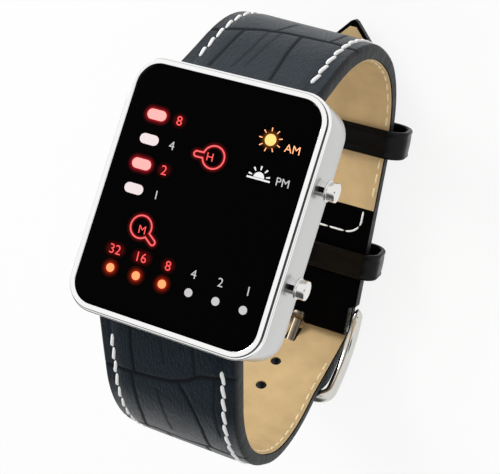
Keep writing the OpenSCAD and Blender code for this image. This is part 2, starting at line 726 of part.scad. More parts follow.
module buckle_strap() color(leather) on_case() difference() {
    union() {
        across(strap_w) polygon(band(buckle_path, 1, tapered(buckle_path, strap_t_case, strap_t_back)));
        eye(top_bar, strap_t_case);
        eye(buckle_bar, strap_t_back);
    }
    across(strap_w + 2 * past) polygon(band(buckle_lining_path, 1, constant(buckle_lining_path, lining_t)));
    eye_bore(top_bar, bar_d);
    eye_bore(buckle_bar, buckle_bar_d);
    translate([0, buckle_bar[0], buckle_bar[1]]) rotate([lean, 0, 0]) {
        box([-knuckle_w, knuckle_w] / 2 + [-tongue_gap, tongue_gap],
            [-strap_t_back, strap_t_back / 2 + tongue_gap], [-strap_t_back, strap_t_back]);
        for (side = [-1, 1])
            translate([side * (tail_w / 2 + strap_w / 2), 0, 0])
                box([-strap_w, strap_w] / 2, [-strap_t_back, end_cut_l], [-strap_t_back, strap_t_back]);
    }
}

module buckle_strap_lining() color(tan_leather) on_case()
    across(strap_w) polygon(band(buckle_lining_path, 1, constant(buckle_lining_path, lining_t)));

// Plan of the tail's pointed end, seen from above in the stand frame
module tail_plan() {
    far = case_to_stand(tail_end)[0];
    near = far - tip_l;
    behind = 4 * case_l;
    side = tail_w / 2;
    outline = [[side, -behind], [side, near], [0, far], [-side, near], [-side, -behind]];
    translate([0, 0, -past]) linear_extrude(4 * case_l) {
        polygon(rounded_path(outline, [shoulder_r, tip_r, shoulder_r]));
        translate([-strap_w, -behind]) square([2 * strap_w, behind + near / 2]);
    }
}

// Front of the tail, seen along Y in the stand frame
module tail_front() {
    deep = 4 * case_l;
    side = tail_w / 2;
    wide = strap_w / 2 + past;
    right = [[side, -past], [side, narrow_end], [wide, narrow_top], [wide, deep]];
    left = [for (i = [3 : -1 : 0]) [-right[i][0], right[i][1]]];
    translate([0, deep / 2, 0]) rotate([90, 0, 0]) linear_extrude(deep) polygon(concat(right, left));
}

module tail_holes() {
    crossing = norm(crossbar - under_bar) * 0.38;
    for (k = [1, 2]) {
        p = under_bar + (crossing + k * hole_pitch) * tail_dir;
        translate([0, p[0], p[1]]) rotate([atan2(tail_dir[1], tail_dir[0]), 0, 0])
            cylinder(d = hole_d, h = 4 * tail_t, center = true);
    }
    for (k = [0 : 3]) {
        p = under_bar - (fixed_keeper_at + keeper_w + (k - 1) * hole_pitch) * back_dir;
        translate([0, p[0], p[1]]) rotate([lean, 0, 0]) cylinder(d = hole_d, h = 3 * tail_t, center = true);
    }
}

module tail_cuts() {
    tail_holes();
    tongue_sweep();
}

module tail_strap() color(leather) intersection() {
    on_case() difference() {
        union() {
            across(strap_w) polygon(band(tail_path, -1, tapered(tail_path, strap_t_case, tail_t)));
            eye(bottom_bar, strap_t_case);
        }
        across(strap_w + 2 * past) polygon(band(tail_lining_path, -1, constant(tail_lining_path, lining_t)));
        eye_bore(bottom_bar, bar_d);
        tail_cuts();
    }
    tail_plan();
    tail_front();
}

module tail_strap_lining() color(tan_leather) intersection() {
    on_case() difference() {
        across(strap_w) polygon(band(tail_lining_path, -1, constant(tail_lining_path, lining_t)));
        tail_cuts();
    }
    tail_plan();
    tail_front();
}

// Keepers, in the stand frame

module keeper(y, over, room) {
    inner_h = keeper_inner_h - strap_gap + over;
    inner_w = strap_w + 2 * room;
    inner_r = room + keeper_ease;
    translate([0, y + keeper_w / 2, keeper_t + inner_h / 2]) rotate([90, 0, 0]) difference() {
        linear_extrude(keeper_w)
            polygon(rounded_rect(inner_w + 2 * keeper_t, inner_h + 2 * keeper_t, inner_r + keeper_t));
        translate([0, 0, -past]) linear_extrude(keeper_w + 2 * past)
            polygon(rounded_rect(inner_w, inner_h, inner_r));
    }
}

module fixed_keeper() color(leather) keeper(0, strap_gap, fixed_keeper_room);

module free_keeper() color(leather) keeper(free_keeper_at, free_keeper_gap, free_keeper_room);

// Buckle

module buckle_arm(x0) {
    middle = (buckle_bar + crossbar) / 2;
    centre = middle + (arm_r - arm_bow) * left_of(unit(buckle_chord)) * -1;
    extra = 2 * asin(arm_past / 2 / arm_r);
    start = turned(buckle_bar - centre, extra);
    sweep = 2 * asin(chord_l / 2 / arm_r) + extra;
    translate([x0, centre[0], centre[1]]) rotate([90, 0, 90]) rotate(atan2(start[1], start[0]) - sweep)
        rotate_extrude(angle = sweep, $fn = 128) translate([arm_r - arm_h / 2, 0]) square([arm_h, arm_w]);
    rod_x(centre + start, arm_end_r, x0, x0 + arm_w);
}

module buckle_frame() color(chrome) on_case() difference() {
    union() {
        buckle_arm(frame_x);
        buckle_arm(-frame_x - arm_w);
        rod_x(crossbar, crossbar_r, -frame_x - arm_w, frame_x + arm_w);
    }
    hole = frame_x + tip_reach + run_gap;
    rod_x(buckle_bar, buckle_tip_d / 2 + run_gap, -hole, hole);
}

module buckle_tongue() color(chrome) on_case() difference() {
    union() {
        rod_x(buckle_bar, knuckle_r, -knuckle_w / 2, knuckle_w / 2);
        translate([0, buckle_bar[0], buckle_bar[1]]) rotate([tongue_angle, 0, 0])
            box([-tongue_w, tongue_w] / 2, [0, tongue_l], [-tongue_t, tongue_t] / 2);
    }
    rod_x(buckle_bar, buckle_bar_d / 2 + run_gap, -knuckle_w, knuckle_w);
}

echo(face_centre = case_to_stand([0, 0]), buckle_bar = case_to_stand(buckle_bar));
echo(crossbar = case_to_stand(crossbar), button_axis = case_to_stand([button_y, -button_drop]));

case_body();
face_lens();
lens_gasket();
dial_mask();
light_guide();
circuit_board();
hour_leds();
minute_leds();
icon_leds();
control_chip();
quartz_crystal();
module_frame();
coin_cell();
cell_clip();
cell_contact();
insulator_sheet();
case_back();
back_gasket();
back_screws();
switch_leaf(button_y);  // upper_switch_leaf
switch_leaf(-button_y);  // lower_switch_leaf
button_sleeve(button_y);  // upper_button_sleeve
whole_button(button_y);  // upper_button
button_spring(button_y);  // upper_button_spring
button_seal(button_y);  // upper_button_seal
button_clip(button_y);  // upper_button_clip
button_sleeve(-button_y);  // lower_button_sleeve
whole_button(-button_y);  // lower_button
button_spring(-button_y);  // lower_button_spring
button_seal(-button_y);  // lower_button_seal
button_clip(-button_y);  // lower_button_clip
bar_tube(top_bar, bar_d, tip_d, lug_x);  // top_bar_tube
bar_tip(top_bar, bar_d, tip_d, lug_x, -1);  // top_bar_left_tip
bar_tip(top_bar, bar_d, tip_d, lug_x, 1);  // top_bar_right_tip
bar_spring(top_bar, bar_d, lug_x);  // top_bar_spring
bar_tube(bottom_bar, bar_d, tip_d, lug_x);  // bottom_bar_tube
bar_tip(bottom_bar, bar_d, tip_d, lug_x, -1);  // bottom_bar_left_tip
bar_tip(bottom_bar, bar_d, tip_d, lug_x, 1);  // bottom_bar_right_tip
bar_spring(bottom_bar, bar_d, lug_x);  // bottom_bar_spring
bar_tube(buckle_bar, buckle_bar_d, buckle_tip_d, frame_x);  // buckle_bar_tube
bar_tip(buckle_bar, buckle_bar_d, buckle_tip_d, frame_x, -1);  // buckle_bar_left_tip
bar_tip(buckle_bar, buckle_bar_d, buckle_tip_d, frame_x, 1);  // buckle_bar_right_tip
bar_spring(buckle_bar, buckle_bar_d, frame_x);  // buckle_bar_spring
buckle_strap();
buckle_strap_lining();
tail_strap();
tail_strap_lining();
fixed_keeper();
free_keeper();
buckle_frame();
buckle_tongue();
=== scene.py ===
"""Looks of a binary light wristwatch on a leather strap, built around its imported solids."""
import json
import math

import bmesh
import bpy
import numpy as np
from mathutils import Matrix, Vector


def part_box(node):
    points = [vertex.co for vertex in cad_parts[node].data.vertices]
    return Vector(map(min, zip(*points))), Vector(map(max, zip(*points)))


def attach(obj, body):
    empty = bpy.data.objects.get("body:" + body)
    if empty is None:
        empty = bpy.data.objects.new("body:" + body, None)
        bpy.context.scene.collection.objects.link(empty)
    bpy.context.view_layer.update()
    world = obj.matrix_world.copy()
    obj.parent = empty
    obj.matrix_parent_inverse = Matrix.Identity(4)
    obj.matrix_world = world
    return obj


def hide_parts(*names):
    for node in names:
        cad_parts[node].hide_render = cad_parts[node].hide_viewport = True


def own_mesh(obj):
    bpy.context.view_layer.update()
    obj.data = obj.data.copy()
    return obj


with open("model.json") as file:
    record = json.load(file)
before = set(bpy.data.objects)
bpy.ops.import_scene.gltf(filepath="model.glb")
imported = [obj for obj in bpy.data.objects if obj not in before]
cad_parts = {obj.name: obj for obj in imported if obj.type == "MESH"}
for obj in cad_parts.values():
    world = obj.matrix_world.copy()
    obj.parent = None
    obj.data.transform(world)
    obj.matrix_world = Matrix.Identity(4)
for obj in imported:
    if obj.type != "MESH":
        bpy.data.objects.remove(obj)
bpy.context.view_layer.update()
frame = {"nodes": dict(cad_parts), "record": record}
MM = 0.001
BODY = "watch"

# Case frame: millimetres from the face centre, y to 12 o'clock, z out of the face
LEAN = math.radians(24)
COS = math.cos(LEAN)
SIN = math.sin(LEAN)
LENS_MID = -0.7
lens_low, lens_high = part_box("face_lens")
lens_mid = (lens_low + lens_high) / 2
FACE_Y = lens_mid.y / MM - LENS_MID * SIN
FACE_Z = lens_mid.z / MM - LENS_MID * COS


def to_row(x, y, z):
    """A point of the case frame in the row frame, in metres."""
    return Vector((x, FACE_Y + y * COS + z * SIN, FACE_Z - y * SIN + z * COS)) * MM


def turn_to_row(v):
    """A direction of the case frame in the row frame."""
    return Vector((v[0], v[1] * COS + v[2] * SIN, -v[1] * SIN + v[2] * COS))


def place_object(name, data):
    """A new object in the scene."""
    obj = bpy.data.objects.new(name, data)
    bpy.context.scene.collection.objects.link(obj)
    return obj


# Camera of the photograph
CAMERA_AT = (63.77, -7.64, 149.08)
CAMERA_FORWARD = (-0.3397, 0.0328, -0.94)
CAMERA_DOWN = (0.2682, -0.9545, -0.1302)
CAMERA_LENS = 78.828
CAMERA_SENSOR = 36
camera_data = bpy.data.cameras.new("camera")
camera_data.sensor_width = CAMERA_SENSOR
camera_data.lens = CAMERA_LENS
camera_data.clip_start = 0.01
camera = place_object("camera", camera_data)
backward = -turn_to_row(CAMERA_FORWARD).normalized()
upward = -turn_to_row(CAMERA_DOWN)
upward = (upward - backward * upward.dot(backward)).normalized()
sideways = upward.cross(backward)
camera.matrix_world = Matrix.Translation(to_row(*CAMERA_AT)) @ Matrix(
    (sideways, upward, backward)).transposed().to_4x4()
bpy.context.scene.camera = camera


# Materials

def feed(tree, node, inputs):
    """Sets a node's inputs to plain values, or links them to the outputs given."""
    for key, value in inputs.items():
        if isinstance(value, bpy.types.NodeSocket):
            tree.links.new(value, node.inputs[key])
        else:
            node.inputs[key].default_value = value


def add_node(tree, kind, inputs, **settings):
    """A shader node with its settings and inputs."""
    node = tree.nodes.new("ShaderNode" + kind)
    for key, value in settings.items():
        setattr(node, key, value)
    feed(tree, node, inputs)
    return node


def new_material(name, color, rough, metal=0.0, **sockets):
    """A Principled material with plain values, as (material, tree, shader)."""
    mat = bpy.data.materials.new(name)
    mat.use_nodes = True
    shader = mat.node_tree.nodes["Principled BSDF"]
    plain = {"Base Color": (*color, 1), "Roughness": rough, "Metallic": metal}
    plain.update((key.replace("_", " "), value) for key, value in sockets.items())
    feed(mat.node_tree, shader, plain)
    return mat, mat.node_tree, shader


def own_place(tree):
    return add_node(tree, "TexCoord", {}).outputs["Object"]


def stored(tree, name, output):
    """A value kept on the mesh's points."""
    return add_node(tree, "Attribute", {}, attribute_name=name).outputs[output]


def add_noise(tree, scale):
    inputs = {"Scale": scale, "Detail": 3.0, "Vector": own_place(tree)}
    return add_node(tree, "TexNoise", inputs).outputs["Fac"]


def spread(tree, value, low, high, start=0.0, end=1.0, **settings):
    """A value between start and end drawn out to a range."""
    inputs = {"From Min": start, "From Max": end, "To Min": low, "To Max": high, "Value": value}
    return add_node(tree, "MapRange", inputs, **settings).outputs["Result"]


def mix_colors(tree, fac, first, second):
    first, second = ((*c, 1) if isinstance(c, tuple) else c for c in (first, second))
    return add_node(tree, "Mix", {"Factor": fac, 6: first, 7: second}, data_type="RGBA").outputs[2]


def add_bump(tree, shader, heights):
    """Bumps of the given (height, depth) pairs, one on top of the other."""
    inputs = {"Strength": 1.0}
    for height, depth in heights:
        inputs.update({"Distance": depth, "Height": height})
        inputs["Normal"] = add_node(tree, "Bump", inputs).outputs["Normal"]
    feed(tree, shader, {"Normal": inputs["Normal"]})


def worn(name, color, rough, metal=0.0, scale=600.0, swing=0.3, tint=0.12, depth=0.00001, **sockets):
    """A material whose tone, gloss and surface vary a little, as every real one's do."""
    mat, tree, shader = new_material(name, color, rough, metal, **sockets)
    fac = add_noise(tree, scale)
    darker = tuple(c * (1 - tint) for c in color)
    lighter = tuple(min(1.0, c * (1 + tint)) for c in color)
    feed(tree, shader, {"Base Color": mix_colors(tree, fac, darker, lighter),
                        "Roughness": spread(tree, fac, rough * (1 - swing), rough * (1 + swing))})
    add_bump(tree, shader, [(add_noise(tree, scale * 4), 0.2 * depth)])
    return mat


def grained(name, color, groove, rough, cell, depth, streak=0.0, **sockets):
    """Leather: fine pores, cloudy tone, streaks of the given depth, and matt creases whose colour goes toward
    the groove colour: painted shade in the creases.
    """
    mat, tree, shader = new_material(name, color, rough, **sockets)
    cloud = add_noise(tree, 220.0)
    pores = add_node(tree, "TexVoronoi", {"Scale": 1 / cell, "Vector": own_place(tree)},
                     feature="DISTANCE_TO_EDGE").outputs["Distance"]
    wavy = {"Scale": 1.0, "Detail": 5.0, "Distortion": 0.6, "Vector": stored(tree, "place", "Vector")}
    streaks = spread(tree, add_node(tree, "TexNoise", wavy).outputs["Fac"], 0.0, 1.0, 0.3, 0.7)
    both = add_node(tree, "Math", {0: cloud, 1: streaks}).outputs[0]
    fac = spread(tree, both, 0.0, 1.0, 0.3, 1.7)
    tone = mix_colors(tree, fac, tuple(c * 0.7 for c in color), tuple(c * 1.3 for c in color))
    # The crease depth share blends the colour toward the near-black groove colour, painted shade in the
    # creases, and makes them matt
    crease_shade_mask = stored(tree, "groove", "Fac")
    gloss = spread(tree, fac, rough * 0.75, rough * 1.3)
    matt = add_node(tree, "Mix", {0: crease_shade_mask, 2: gloss, 3: 1.0}).outputs[0]
    feed(tree, shader, {"Base Color": mix_colors(tree, crease_shade_mask, tone, groove), "Roughness": matt})
    heights = [(pores, 0.35 * depth), (add_noise(tree, 5 / cell), 0.25 * depth)]
    if streak:
        heights.append((streaks, streak))
    add_bump(tree, shader, heights)
    return mat


def lit(name, color, strength, base):
    """A glowing colour, a little paler in random patches: the lit marks' own light, and painted light on the
    unlit windows and the white print.
    """
    mat, tree, shader = new_material(name, base, 0.35, Emission_Strength=strength)
    paler = tuple(min(1.0, c * 1.08 + 0.02) for c in color)
    feed(tree, shader, {"Emission Color": mix_colors(tree, add_noise(tree, 900.0), color, paler)})
    return mat


def glow_material():
    """The lens round a lit mark: black gloss with the light's spill on it."""
    mat, tree, shader = new_material("light_spill", LENS_BLACK, LENS_ROUGH, Specular_IOR_Level=LENS_SHINE,
                                     Emission_Strength=1.0)
    feed(tree, shader, {"Emission Color": stored(tree, "glow", "Color")})
    return mat


LENS_BLACK = (0.0003, 0.0003, 0.0004)
LENS_ROUGH = 0.05
LENS_SHINE = 0.015
CHROME = worn("polished_chrome", (0.92, 0.92, 0.915), 0.07, 1.0, 500.0, 0.35, 0.03)
BUCKLE_STEEL = worn("buckle_steel", (0.78, 0.77, 0.75), 0.1, 1.0, 500.0, 0.3, 0.04)
# Near-black metal for the rim's side band: a painted dark reflection, the dark line that the polished rim
# shows there
RIM_PAINTED_DARK = worn("rim_side_painted_reflection", (0.008, 0.008, 0.009), 0.16, 1.0, 500.0, 0.3, 0.1)
BOW_STEEL = worn("bow_steel", (0.64, 0.625, 0.59), 0.14, 1.0, 500.0, 0.3, 0.05)
# Dark tan-brown metal for the buckle's tongue: painted shade and a painted reflection of the tan lining
PIN_PAINTED_TAN = worn("pin_painted_tan_reflection", (0.17, 0.14, 0.105), 0.3, 1.0, 500.0, 0.3, 0.06)
SATIN = worn("satin_wall", (0.6, 0.6, 0.595), 0.3, 1.0, 700.0, 0.2, 0.04)
STEEL = worn("brushed_back", (0.58, 0.58, 0.6), 0.3, 1.0, 900.0, 0.3, 0.08)
BRASS = worn("spring_brass", (0.75, 0.58, 0.28), 0.25, 1.0)
LENS = worn("black_lens", LENS_BLACK, LENS_ROUGH, 0.0, 300.0, 0.3, 0.1, 0.000002,
            Specular_IOR_Level=LENS_SHINE)
# Near-black matt stuff for the band on each button's sleeve: a painted dark reflection
SLEEVE_PAINTED_DARK = worn("sleeve_painted_reflection", (0.0015, 0.0015, 0.0016), 0.6, Specular_IOR_Level=0.08)
RUBBER = worn("black_rubber", (0.02, 0.02, 0.02), 0.7)
BOARD = worn("board_green", (0.03, 0.17, 0.08), 0.45)
DARK_PLASTIC = worn("dark_plastic", (0.03, 0.03, 0.032), 0.5)
PALE_PLASTIC = worn("pale_plastic", (0.75, 0.74, 0.7), 0.45)
AMBER_FILM = worn("amber_film", (0.7, 0.38, 0.08), 0.25)
LEATHER = grained("black_leather", (0.0032, 0.0106, 0.0184), (0.0004, 0.0005, 0.0006), 0.36, 0.00045, 0.00004,
                  streak=0.00006, Specular_IOR_Level=0.26)
# A darker, less shiny copy of the black leather for the straps' inner faces: painted shade inside the loop
INNER_LEATHER_PAINTED_SHADE = grained("inner_leather_painted_shade", (0.0008, 0.0007, 0.0008), (0.0004, 0.0004, 0.0004), 0.6, 0.00045, 0.00003,
               Specular_IOR_Level=0.02)
EDGE_PAINT = grained("edge_paint", (0.012, 0.0135, 0.015), (0.006, 0.006, 0.007), 0.5, 0.0007, 0.00006,
                     Specular_IOR_Level=0.15)
KEEPER_LEATHER = grained("keeper_leather", (0.0012, 0.0012, 0.0014), (0.001, 0.001, 0.001), 0.24, 0.0008,
                         0.00002, Specular_IOR_Level=0.16)
LINING = grained("tan_lining", (0.67, 0.475, 0.235), (0.34, 0.22, 0.1), 0.62, 0.0003, 0.00002)
THREAD = worn("white_thread", (0.9, 0.9, 0.89), 0.75, 0.0, 2500.0, 0.15, 0.12, 0.00005)
TAN_THREAD = worn("tan_thread", (0.84, 0.7, 0.44), 0.75, 0.0, 2500.0, 0.15, 0.12, 0.00004)
RED_LIGHT = lit("red_light", (1.0, 0.33, 0.3), 1.0, (0.5, 0.1, 0.1))
RED_PRINT = lit("red_print", (1.0, 0.06, 0.05), 0.9, (0.3, 0.01, 0.01))
RED_LINE = lit("red_line", (0.85, 0.09, 0.1), 0.85, (0.3, 0.02, 0.02))
ORANGE_LIGHT = lit("orange_light", (1.0, 0.27, 0.1), 1.0, (0.5, 0.12, 0.03))
AMBER_LIGHT = lit("amber_light", (1.0, 0.5, 0.12), 1.0, (0.5, 0.25, 0.08))
AMBER_PRINT = lit("amber_print", (1.0, 0.4, 0.2), 0.9, (0.5, 0.2, 0.05))
# The unlit windows, the white numbers and the white print glow as well, with no light behind them: painted
# light that keeps them bright
WHITE_WINDOW_PAINTED_GLOW = lit("unlit_window_painted_glow", (0.92, 0.8, 0.82), 0.36, (0.48, 0.41, 0.41))
GREY_WINDOW_PAINTED_GLOW = lit("unlit_grey_painted_glow", (0.7, 0.67, 0.68), 0.36, (0.3, 0.29, 0.3))
WHITE_PRINT_PAINTED_GLOW = lit("white_print_painted_glow", (0.85, 0.85, 0.86), 0.38, (0.5, 0.5, 0.5))
GLOW = glow_material()


# Meshes

def new_mesh(name, verts, faces):
    """A mesh whose faces all look outwards."""
    mesh = bpy.data.meshes.new(name)
    mesh.from_pydata([tuple(v) for v in verts], [], faces)
    work = bmesh.new()
    work.from_mesh(mesh)
    bmesh.ops.recalc_face_normals(work, faces=work.faces)
    work.to_mesh(mesh)
    work.free()
    return mesh


def add_object(name, verts, faces, materials, body=BODY, slot=None, nodes=(), smooth_angle=35):
    """A mesh of the row frame that rides on a body and may stand for CAD nodes."""
    mesh = new_mesh(name, verts, faces)
    obj = place_object(name, mesh)
    for mat in materials:
        mesh.materials.append(mat)
    mesh.shade_smooth()
    mesh.set_sharp_from_angle(angle=math.radians(smooth_angle))
    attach(obj, body)
    if nodes:
        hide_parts(*nodes)
    return obj


def loft(rings, closed=False):
    """Vertices and faces of a skin over rings of equal length, capped at its ends unless it is closed."""
    n = len(rings[0])
    verts = [v for ring in rings for v in ring]
    faces = []
    spans = len(rings) if closed else len(rings) - 1
    for k in range(spans):
        a = k * n
        b = ((k + 1) % len(rings)) * n
        for i in range(n):
            j = (i + 1) % n
            faces.append((a + i, a + j, b + j, b + i))
    if not closed:
        faces.append(tuple(range(n - 1, -1, -1)))
        faces.append(tuple(range((len(rings) - 1) * n, len(rings) * n)))
    return verts, faces


def gather(parts):
    """Several (vertices, faces) pairs as one."""
    verts = []
    faces = []
    for v, f in parts:
        base = len(verts)
        verts.extend(v)
        faces.extend(tuple(i + base for i in face) for face in f)
    return verts, faces


def arc(x, y, r, start=0.0, sweep=2 * math.pi, steps=32):
    """Points of a whole circle, or of a part of one with both its ends."""
    count = steps if sweep >= 2 * math.pi else steps + 1
    angles = [start + sweep * i / steps for i in range(count)]
    return [(x + r * math.cos(a), y + r * math.sin(a)) for a in angles]


def rounded_rect(w, l, r, steps=10):
    points = []
    for k, (sx, sy) in enumerate(((1, 1), (-1, 1), (-1, -1), (1, -1))):
        points += arc(sx * (w / 2 - r), sy * (l / 2 - r), r, math.pi / 2 * k, math.pi / 2, steps)
    return points


def case_rings(profile, w, l, r):
    """Rings of a rounded case outline, drawn in by each profile point's inset, at its height."""
    return [[to_row(x, y, z) for x, y in rounded_rect(w - 2 * inset, l - 2 * inset, max(r - inset, 0.3))]
            for inset, z in profile]


def lathe(profile, centre, steps=48):
    """Rings round an axis along x through a row point in millimetres, from (x, radius) pairs."""
    return [[Vector((x, y, z)) * MM for y, z in arc(*centre, r, steps=steps)] for x, r in profile]


def cut(obj, cutters):
    """Takes a joined set of closed (vertices, faces) out of a mesh."""
    mesh = new_mesh("cutter", *gather(cutters))
    tool = place_object("cutter", mesh)
    modifier = obj.modifiers.new("cut", "BOOLEAN")
    modifier.operation = "DIFFERENCE"
    modifier.solver = "EXACT"
    modifier.object = tool
    bpy.context.view_layer.update()
    graph = bpy.context.evaluated_depsgraph_get()
    result = bpy.data.meshes.new_from_object(obj.evaluated_get(graph))
    obj.modifiers.clear()
    old = obj.data
    obj.data = result
    result.name = old.name + "_cut"
    bpy.data.meshes.remove(old)
    bpy.data.objects.remove(tool)
    bpy.data.meshes.remove(mesh)


def prism(points, x0, x1):
    """A closed solid from a polygon of [y, z] row points in millimetres, across x."""
    rings = [[Vector((x, y, z)) * MM for y, z in points] for x in (x0, x1)]
    return loft(rings)


# Case

def box_mm(node):
    """The low and high corner of a CAD node, in millimetres."""
    return [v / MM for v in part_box(node)]


CASE_W = 33
CASE_L = 40.6
CASE_R = 4.8
CASE_H = 10
CAVITY_W = 29.4
CAVITY_L = 28.6
CAVITY_R = 1.5
BACK_LEDGE = 0.7
HALF_SLOT = 12.3
SLOT_Y = 15.9
SLOT_TOP = -2.3
BUTTON_DROP = -5.2
BUTTON_Y = 7.5
WALL_X = CASE_W / 2
SLEEVE_R = 1.27

RIM_FLOOR = -1.45
BACK_SEAT = -8.85
outer_profile = [
    (0.45, -CASE_H), (0.18, -9.92), (0.05, -9.76), (0, -9.55), (0, -1.0), (0.02, -0.91), (0.07, -0.84),
    (0.14, -0.81), (0.18, -0.8), (0.36, -0.8), (0.39, -0.79), (0.4, -0.76), (0.4, -0.14), (0.42, -0.06),
    (0.47, -0.01), (0.53, 0), (0.57, 0), (1.08, 0), (1.12, 0), (1.18, -0.02), (1.23, -0.07), (1.25, -0.15),
    (1.25, RIM_FLOOR),
]
WALL_RINGS = 4
# Profile rings of the rim's side, which take the near-black metal: a painted dark reflection line round the
# rim
RIM_SIDE = (10, 11, 12, 13)
shell_rings = case_rings(outer_profile, CASE_W, CASE_L, CASE_R)
inner_profile = [(0, RIM_FLOOR), (0, BACK_SEAT), (-BACK_LEDGE, BACK_SEAT), (-BACK_LEDGE, -CASE_H)]
shell_rings += case_rings(inner_profile, CAVITY_W, CAVITY_L, CAVITY_R)
case_shell = add_object("case_shell", *loft(shell_rings, closed=True), [CHROME, SATIN, RIM_PAINTED_DARK],
                        slot="chrome", nodes=("case_body",), smooth_angle=40)
# Wall rings take the satin finish, the rim's side rings the near-black metal as a painted dark reflection,
# and the rest the chrome
for face in case_shell.data.polygons[:len(outer_profile) * len(shell_rings[0])]:
    ring = face.index // len(shell_rings[0])
    face.material_index = 1 if ring < WALL_RINGS else 2 * (ring in RIM_SIDE)


def case_box(x, y, z):
    """A closed box of the case frame."""
    rings = [[to_row(px, py, pz) for px, py in ((x[0], y[0]), (x[1], y[0]), (x[1], y[1]), (x[0], y[1]))]
             for pz in z]
    return loft(rings)


def button_axis(end):
    """Row [y, z] of a button's axis in millimetres: end is 1 for the upper button."""
    axis = to_row(0, end * BUTTON_Y, BUTTON_DROP) / MM
    return axis.y, axis.z


slot_cutters = []
for end in (-1, 1):
    ys = sorted((end * SLOT_Y, end * (CASE_L / 2 + 1)))
    slot_cutters.append(case_box((-HALF_SLOT, HALF_SLOT), ys, (-CASE_H - 1, SLOT_TOP)))
for end in (-1, 1):
    slot_cutters.append(loft(lathe([(WALL_X - 2.5, SLEEVE_R), (WALL_X + 1, SLEEVE_R)], button_axis(end))))
cut(case_shell, slot_cutters)

LENS_W = 30.4
LENS_L = 38
LENS_R = 3.5
LENS_TOP = -0.1
lens_profile = [(0, -1.3), (0, -0.3), (0.03, -0.2), (0.1, -0.13), (0.22, LENS_TOP)]
add_object("face_glass", *loft(case_rings(lens_profile, LENS_W, LENS_L, LENS_R)), [LENS], slot="lens",
           nodes=("face_lens",), smooth_angle=50)


# Buttons

MOUTH_X = WALL_X + 0.9
STEP_X = MOUTH_X + 0.4
END_X = STEP_X + 1.3
FLOOR_X = WALL_X + 2
button_profile = [
    (12.8, 0.05), (12.78, 0.3), (12.82, 0.4), (17.0, 0.4), (17.0, 0.9), (FLOOR_X, 0.9), (FLOOR_X, 1.3),
    (MOUTH_X, 1.3), (MOUTH_X, 1.6), (MOUTH_X + 0.03, 1.67), (MOUTH_X + 0.1, 1.7), (STEP_X - 0.1, 1.7),
    (STEP_X - 0.03, 1.67), (STEP_X, 1.6), (STEP_X + 0.01, 1.5), (END_X - 0.25, 1.5), (END_X - 0.2, 1.495),
    (END_X - 0.06, 1.44), (END_X, 1.32), (END_X, 1.0), (END_X - 0.03, 0.8), (END_X - 0.03, 0.75),
]
for place, end in (("upper", 1), ("lower", -1)):
    add_object(f"{place}_push_button", *loft(lathe(button_profile, button_axis(end))), [BUCKLE_STEEL],
               body=f"{place}_button_body", slot="chrome", nodes=(f"{place}_button",))
DARK_BAND_START = math.radians(55)
DARK_BAND_SWEEP = math.radians(38)


def sleeve_painted_band(end):
    """A thin near-black band along the front of a button's sleeve: a painted dark reflection, not a real
    slot.
    """
    outline = arc(*button_axis(end), SLEEVE_R + 0.01, DARK_BAND_START, DARK_BAND_SWEEP, 12)
    outline += reversed(arc(*button_axis(end), SLEEVE_R - 0.07, DARK_BAND_START, DARK_BAND_SWEEP, 12))
    return prism(outline, WALL_X - 0.05, MOUTH_X + 0.15)


add_object("sleeve_painted_reflections", *gather([sleeve_painted_band(1), sleeve_painted_band(-1)]), [SLEEVE_PAINTED_DARK], slot="rubber")


# Springs, wound round the axes of the CAD springs

COIL_STEPS = 20


def add_coil(name, node, ends, turns, wire):
    """A wire wound evenly between two x places round the axis of a CAD spring."""
    low, high = box_mm(node)
    y = (low.y + high.y) / 2
    z = (low.z + high.z) / 2
    r = max(high.y - low.y, high.z - low.z) / 2 - wire / 2
    steps = int(turns * COIL_STEPS)
    rings = []
    for k in range(steps + 1):
        a = 2 * math.pi * turns * k / steps
        x = ends[0] + (ends[1] - ends[0]) * k / steps
        rings.append([Vector((x + s, y + out * math.cos(a), z + out * math.sin(a))) * MM
                      for out, s in arc(r, 0, wire / 2, steps=8)])
    obj = add_object(name, *loft(rings), [STEEL], slot="steel", nodes=(node,), smooth_angle=60)
    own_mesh(obj)


BUTTON_WIRE = 0.22
BUTTON_TURNS = 5
BAR_WIRE = 0.18
HALF_BAR_TURNS = 4.5
for place in ("upper", "lower"):
    low, high = box_mm(f"{place}_button_spring")
    ends = (low.x + BUTTON_WIRE / 2, high.x - BUTTON_WIRE / 2)
    add_coil(f"{place}_button_coil", f"{place}_button_spring", ends, BUTTON_TURNS, BUTTON_WIRE)
for place in ("top", "bottom", "buckle"):
    low, high = box_mm(f"{place}_bar_spring")
    for side, end in (("left", low.x + BAR_WIRE / 2), ("right", high.x - BAR_WIRE / 2)):
        add_coil(f"{place}_bar_{side}_coil", f"{place}_bar_spring", (0.0, end), HALF_BAR_TURNS, BAR_WIRE)


# Straps

STEP = 0.3
STRAP_HALF = 12
TAIL_HALF = 10.6
END_CUT = 5.15
CROSSBAR_AT = 14.6
PAST_BAR = 63.8
EDGE_SWELL = 2.4
PAD = 0.3
EDGE_R = 0.75
STITCH_IN = 2.3
LINING_T = 0.3
LINING_GAP = 0.02
LINING_BORDER = 0.35
TIP_BORDER = 0.6
OUTER_COLUMNS = 97
INNER_COLUMNS = 17
WRINKLES = 3.5
CREASE_DEPTH = 0.1
TAPER_L = 40
PAD_START = 1.0
PAD_RUN = 3.2
CHANNEL_DEPTH = 0.12
CHANNEL_W = 0.4


def unit(v):
    return v / np.linalg.norm(v)


def turned(v, a):
    return np.array([v[0] * math.cos(a) - v[1] * math.sin(a), v[0] * math.sin(a) + v[1] * math.cos(a)])


